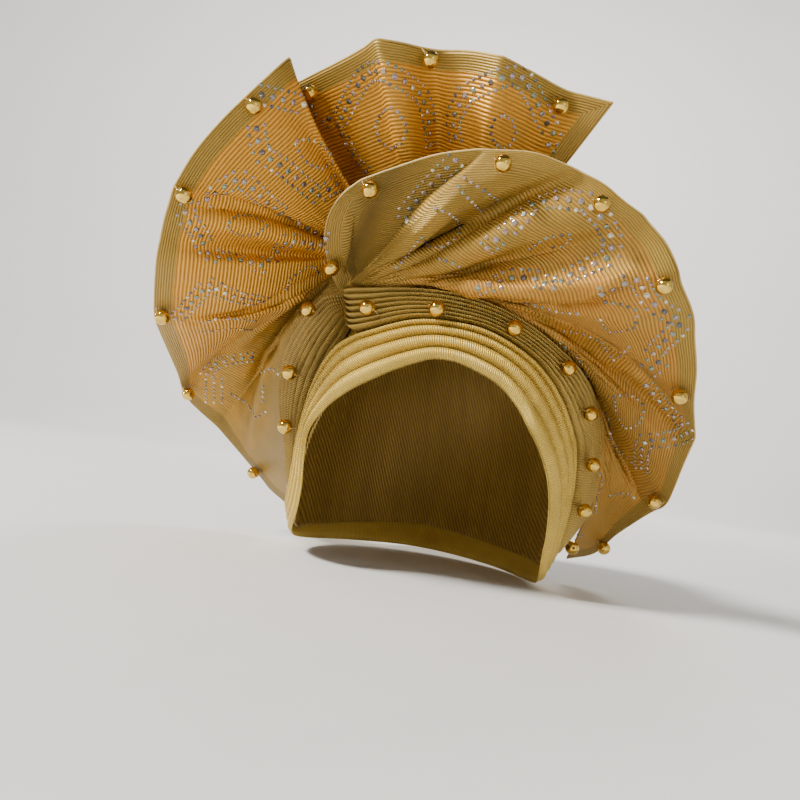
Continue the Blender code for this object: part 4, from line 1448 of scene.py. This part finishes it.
def band_cloth(name, bright, line_colour, pitch, slant, crease):
    """Ribbed metallic cloth of a wound band, with ribs across its pleats. The ribs slant by so many
    millimetres over a pleat, and painted shade darkens the cloth into the grooves from the crease share on."""
    nodes = Nodes(name, 0.40, 0.35)
    x, y = nodes.weave()
    rope = nodes.math("FRACT", nodes.attribute("rope"))
    tilted = nodes.math("MULTIPLY_ADD", rope, slant, x)
    sway = nodes.math("MULTIPLY_ADD", nodes.noise(x, y, 9.0, 5.0), 1.2, tilted)
    rib = nodes.ribs(sway, pitch)
    line = nodes.rest(nodes.ramp(rib, 0.02, 0.60))
    threads = nodes.noise(x, y, 1.6, 0.25)
    patch = nodes.ramp(nodes.noise(x, y, 24.0, 12.0, 3.0), 0.35, 0.75)
    # Painted shade: the colour darkens from the middle of each pleat into the grooves between pleats, and on
    # the cap along each wrap's lower edge
    from_middle = nodes.math("ABSOLUTE", nodes.math("SUBTRACT", rope, 0.5))
    painted_groove_shade = nodes.ramp(nodes.math("MULTIPLY", from_middle, 2.0), crease, 1.0)
    painted_groove_shade_colour = tuple(part * 0.35 for part in line_colour)
    colour = nodes.mix(nodes.math("MULTIPLY", patch, 0.25), bright, line_colour)
    colour = nodes.mix(nodes.math("MULTIPLY", line, LINE_SHADE), colour, line_colour)
    colour = nodes.mix(nodes.math("MULTIPLY", painted_groove_shade, PAINTED_GROOVE_SHADE), colour, painted_groove_shade_colour)
    nodes.surface(
        Base_Color=nodes.tone(colour, nodes.math("MULTIPLY_ADD", threads, 0.4, 0.8)),
        Roughness=nodes.math("MULTIPLY_ADD", threads, 0.25, 0.30),
        Normal=nodes.bump(threads, BAND_THREADS, Normal=nodes.bump(rib, BAND_RELIEF)),
    )
    nodes.sheen(0.12, bright)
    return nodes.material


def plain_cloth(name, bright, dark):
    """Plain woven cloth, for the hems and the sewing thread."""
    nodes = Nodes(name, 0.5, 0.2)
    grain = nodes.grain(900.0, 2.0)
    body = nodes.mix(nodes.ramp(nodes.grain(60.0, 3.0), 0.2, 0.9), bright, dark)
    nodes.surface(
        Base_Color=nodes.tone(body, nodes.math("MULTIPLY_ADD", grain, 0.6, 0.7)),
        Roughness=nodes.math("MULTIPLY_ADD", grain, 0.25, 0.38),
        Normal=nodes.bump(grain, 0.0002),
    )
    nodes.sheen(0.2, bright)
    return nodes.material


def gold_metal():
    """Polished gold, a little worn and uneven."""
    nodes = Nodes("polished_gold_metal", 0.12, 1.0)
    wear = nodes.grain(420.0, 3.0)
    nodes.surface(
        Base_Color=nodes.mix(nodes.ramp(wear, 0.45, 0.75), GOLD, WORN_GOLD),
        Roughness=nodes.math("MULTIPLY_ADD", wear, 0.10, 0.02),
        Normal=nodes.bump(nodes.grain(150.0, 1.0), 0.00015),
    )
    return nodes.material


def crystal():
    """Foil-backed cut glass, each stone of its own pale tint."""
    nodes = Nodes("crystal_stone", 0.16, 0.60)
    island = nodes.add("ShaderNodeNewGeometry").outputs["Random Per Island"]
    tints = nodes.add("ShaderNodeValToRGB", Fac=island)
    tints.color_ramp.interpolation = "CONSTANT"
    elements = tints.color_ramp.elements
    elements.remove(elements[0])
    elements[0].position, elements[0].color = CRYSTAL_TINTS[0][0], (*CRYSTAL_TINTS[0][1], 1)
    for position, tint in CRYSTAL_TINTS[1:]:
        elements.new(position).color = (*tint, 1)
    flash = nodes.math("MULTIPLY_ADD", nodes.grain(1500.0, 1.0), 1.6, 0.3)
    nodes.surface(
        Base_Color=nodes.tone(tints.outputs["Color"], flash), Coat_Weight=0.5, Coat_Roughness=0.06,
    )
    return nodes.material


def stone_cup():
    """Dark metal of the cups that hold the stones."""
    nodes = Nodes("stone_cup", 0.35, 0.7)
    grain = nodes.grain(800.0, 2.0)
    nodes.surface(Base_Color=nodes.mix(grain, CUP, CUP_LIGHT), Normal=nodes.bump(grain, 0.0001))
    return nodes.material


def stage_paper():
    nodes = Nodes("pale_floor", 0.9, 0.0)
    nodes.surface(Base_Color=nodes.mix(nodes.grain(40.0, 3.0), PAPER, PAPER_LIGHT))
    return nodes.material


def add_floor(level, material):
    """A wide pale floor that curves up all round, far outside every view's camera."""
    points = [(0.0, 0.0, level)]
    points += [(x, y, level + up) for x, y, up in turned_profile(FLOOR_PROFILE, FLOOR_SIDES)]
    faces = [(0, 1 + side, 1 + (side + 1) % FLOOR_SIDES) for side in range(FLOOR_SIDES)]
    faces += ring_faces(len(FLOOR_PROFILE), FLOOR_SIDES, start=1, turned=True)
    floor = new_object("stage_floor", points, faces, (material,))


def add_light(name, place, aim, size, power, colour):
    data = bpy.data.lights.new(name, "AREA")
    data.shape = "DISK"
    data.size = size
    data.energy = power
    data.color = colour
    light = bpy.data.objects.new(name, data)
    light.location = place
    light.rotation_euler = (Vector(aim) - Vector(place)).to_track_quat("-Z", "Y").to_euler()
    bpy.context.scene.collection.objects.link(light)


def add_camera():
    place, right, up, forward = camera_frame()
    data = bpy.data.cameras.new("photo_camera")
    data.sensor_width = SENSOR
    data.lens = SENSOR * FOCAL / IMAGE_SIDE
    data.clip_start = 0.01
    data.clip_end = 50
    camera = bpy.data.objects.new("photo_camera", data)
    bpy.context.scene.collection.objects.link(camera)
    columns = [(*right, 0), (*up, 0), (*-forward, 0), (*place, 1)]
    camera.matrix_world = Matrix(columns).transposed()
    bpy.context.scene.camera = camera


def main():
    for thing in list(bpy.data.objects):
        bpy.data.objects.remove(thing, do_unlink=True)
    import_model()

    add_camera()
    for light in LIGHTS:
        add_light(*light)
    world = bpy.data.worlds.new("pale_world")
    world.use_nodes = True
    world.node_tree.nodes["Background"].inputs["Color"].default_value = (*WORLD_COLOUR, 1)
    world.node_tree.nodes["Background"].inputs["Strength"].default_value = WORLD_STRENGTH
    bpy.context.scene.world = world

    hem_material = plain_cloth("hem_cord", HEM, HEM_SHADE)
    nodes = [f"bead_{number:02d}" for number in range(1, BALLS + 1)]
    centres = [ball_centre(node) for node in nodes]
    back_fan = Fan(BACK_SPOKES, back_gather, BACK_REACH, BACK_FOLDS, BACK_TINTS, first_side=False)
    front_fan = Fan(FRONT_SPOKES, front_gather, FRONT_REACH, FRONT_FOLDS, FRONT_TINTS, first_side=True)
    back_cloth = fan_cloth("orange_gold_ribbed_cloth", ORANGE)
    front_cloth = fan_cloth("olive_gold_ribbed_cloth", FRONT_ORANGE)
    back, back_grid = add_fan("back_fan_cloth", back_fan, centres, back_cloth)
    front, front_grid = add_fan("front_fan_cloth", front_fan, centres, front_cloth)
    back_hem = add_hem("back_fan_hem", back_grid, back_fan, hem_material)
    front_hem = add_hem("front_fan_hem", front_grid, front_fan, hem_material)
    forehead = add_band("forehead_band_cloth", FOREHEAD_BAND, band_cloth(
        "pale_gold_ribbed_cloth", PALE, PALE_LINE, pitch=FOREHEAD_RIB, slant=0.35, crease=0.78,
    ))
    crown = add_band("crown_band_cloth", CROWN_BAND, band_cloth(
        "olive_wound_cloth", WOUND_OLIVE, WOUND_LINE, pitch=ROPE_RIB, slant=1.8, crease=0.45,
    ))
    # The left pleats get the darker copy of the wound cloth as painted shade, and their low crease share
    # spreads the painted groove shade over most of each pleat
    left = add_band("left_pleats_cloth", LEFT_BAND, band_cloth(
        "shaded_olive_pleat_cloth", SHADED_LEFT_OLIVE, WOUND_LINE, pitch=ROPE_RIB, slant=1.8, crease=0.10,
    ))
    cap = add_cap(band_cloth(
        "cap_ribbed_cloth", CAP_OLIVE, OLIVE_LINE, pitch=CAP_RIB, slant=0.0, crease=0.1,
    ))

    trees = {"back": joined_tree((back,)), "front": joined_tree((front,))}
    single = ((0.0, SMALL_PITCH, SMALL_STONE),)
    triple = (
        (0.0, LARGE_PITCH, LARGE_STONE),
        (-ROW_SPACING, SMALL_PITCH, SMALL_STONE),
        (ROW_SPACING, SMALL_PITCH, SMALL_STONE),
    )
    stones = []
    for paths, rows in ((TRIPLE_BANDS, triple), (SINGLE_BANDS, single)):
        for path in paths:
            stones += stone_rows(path, rows, trees)
    stones = thinned(stones)
    stone_materials = (crystal(), stone_cup())
    back_stones, front_stones = (
        add_stones(f"{fan}_fan_stones", [stone for stone in stones if stone[0] == fan], stone_materials)
        for fan in ("back", "front")
    )

    cloth = joined_tree((back, front, crown, left))
    gold = gold_metal()
    balls, threads = [], []
    for node in nodes:
        ball, paths = add_ball("gold_ball" + node[4:], node, cloth, gold)
        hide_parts(node)
        balls.append(ball)
        threads += paths
    thread_material = plain_cloth("sewing_thread", THREAD, THREAD_SHADE)
    sewing = add_tubes("sewing_threads", threads, THREAD_RADIUS, THREAD_SIDES, thread_material)

    pieces = (
        (back, "orange_gold_cloth", "back_fan"),
        (front, "olive_gold_cloth", "front_fan"),
        (forehead, "pale_gold_cloth", "forehead_band"),
        (crown, "olive_gold_cloth", "crown_band"),
        (left, "olive_gold_cloth", "left_pleats"),
        (cap, "olive_gold_cloth", "cap"),
    )
    for piece, slot, node in pieces:
        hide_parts(node)
    trims = [back_hem, front_hem, sewing]
    for piece in [row[0] for row in pieces] + trims + [back_stones, front_stones] + balls:
        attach(piece, "root")

    low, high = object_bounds()
    add_floor(low.z - FLOOR_GAP, stage_paper())


main()
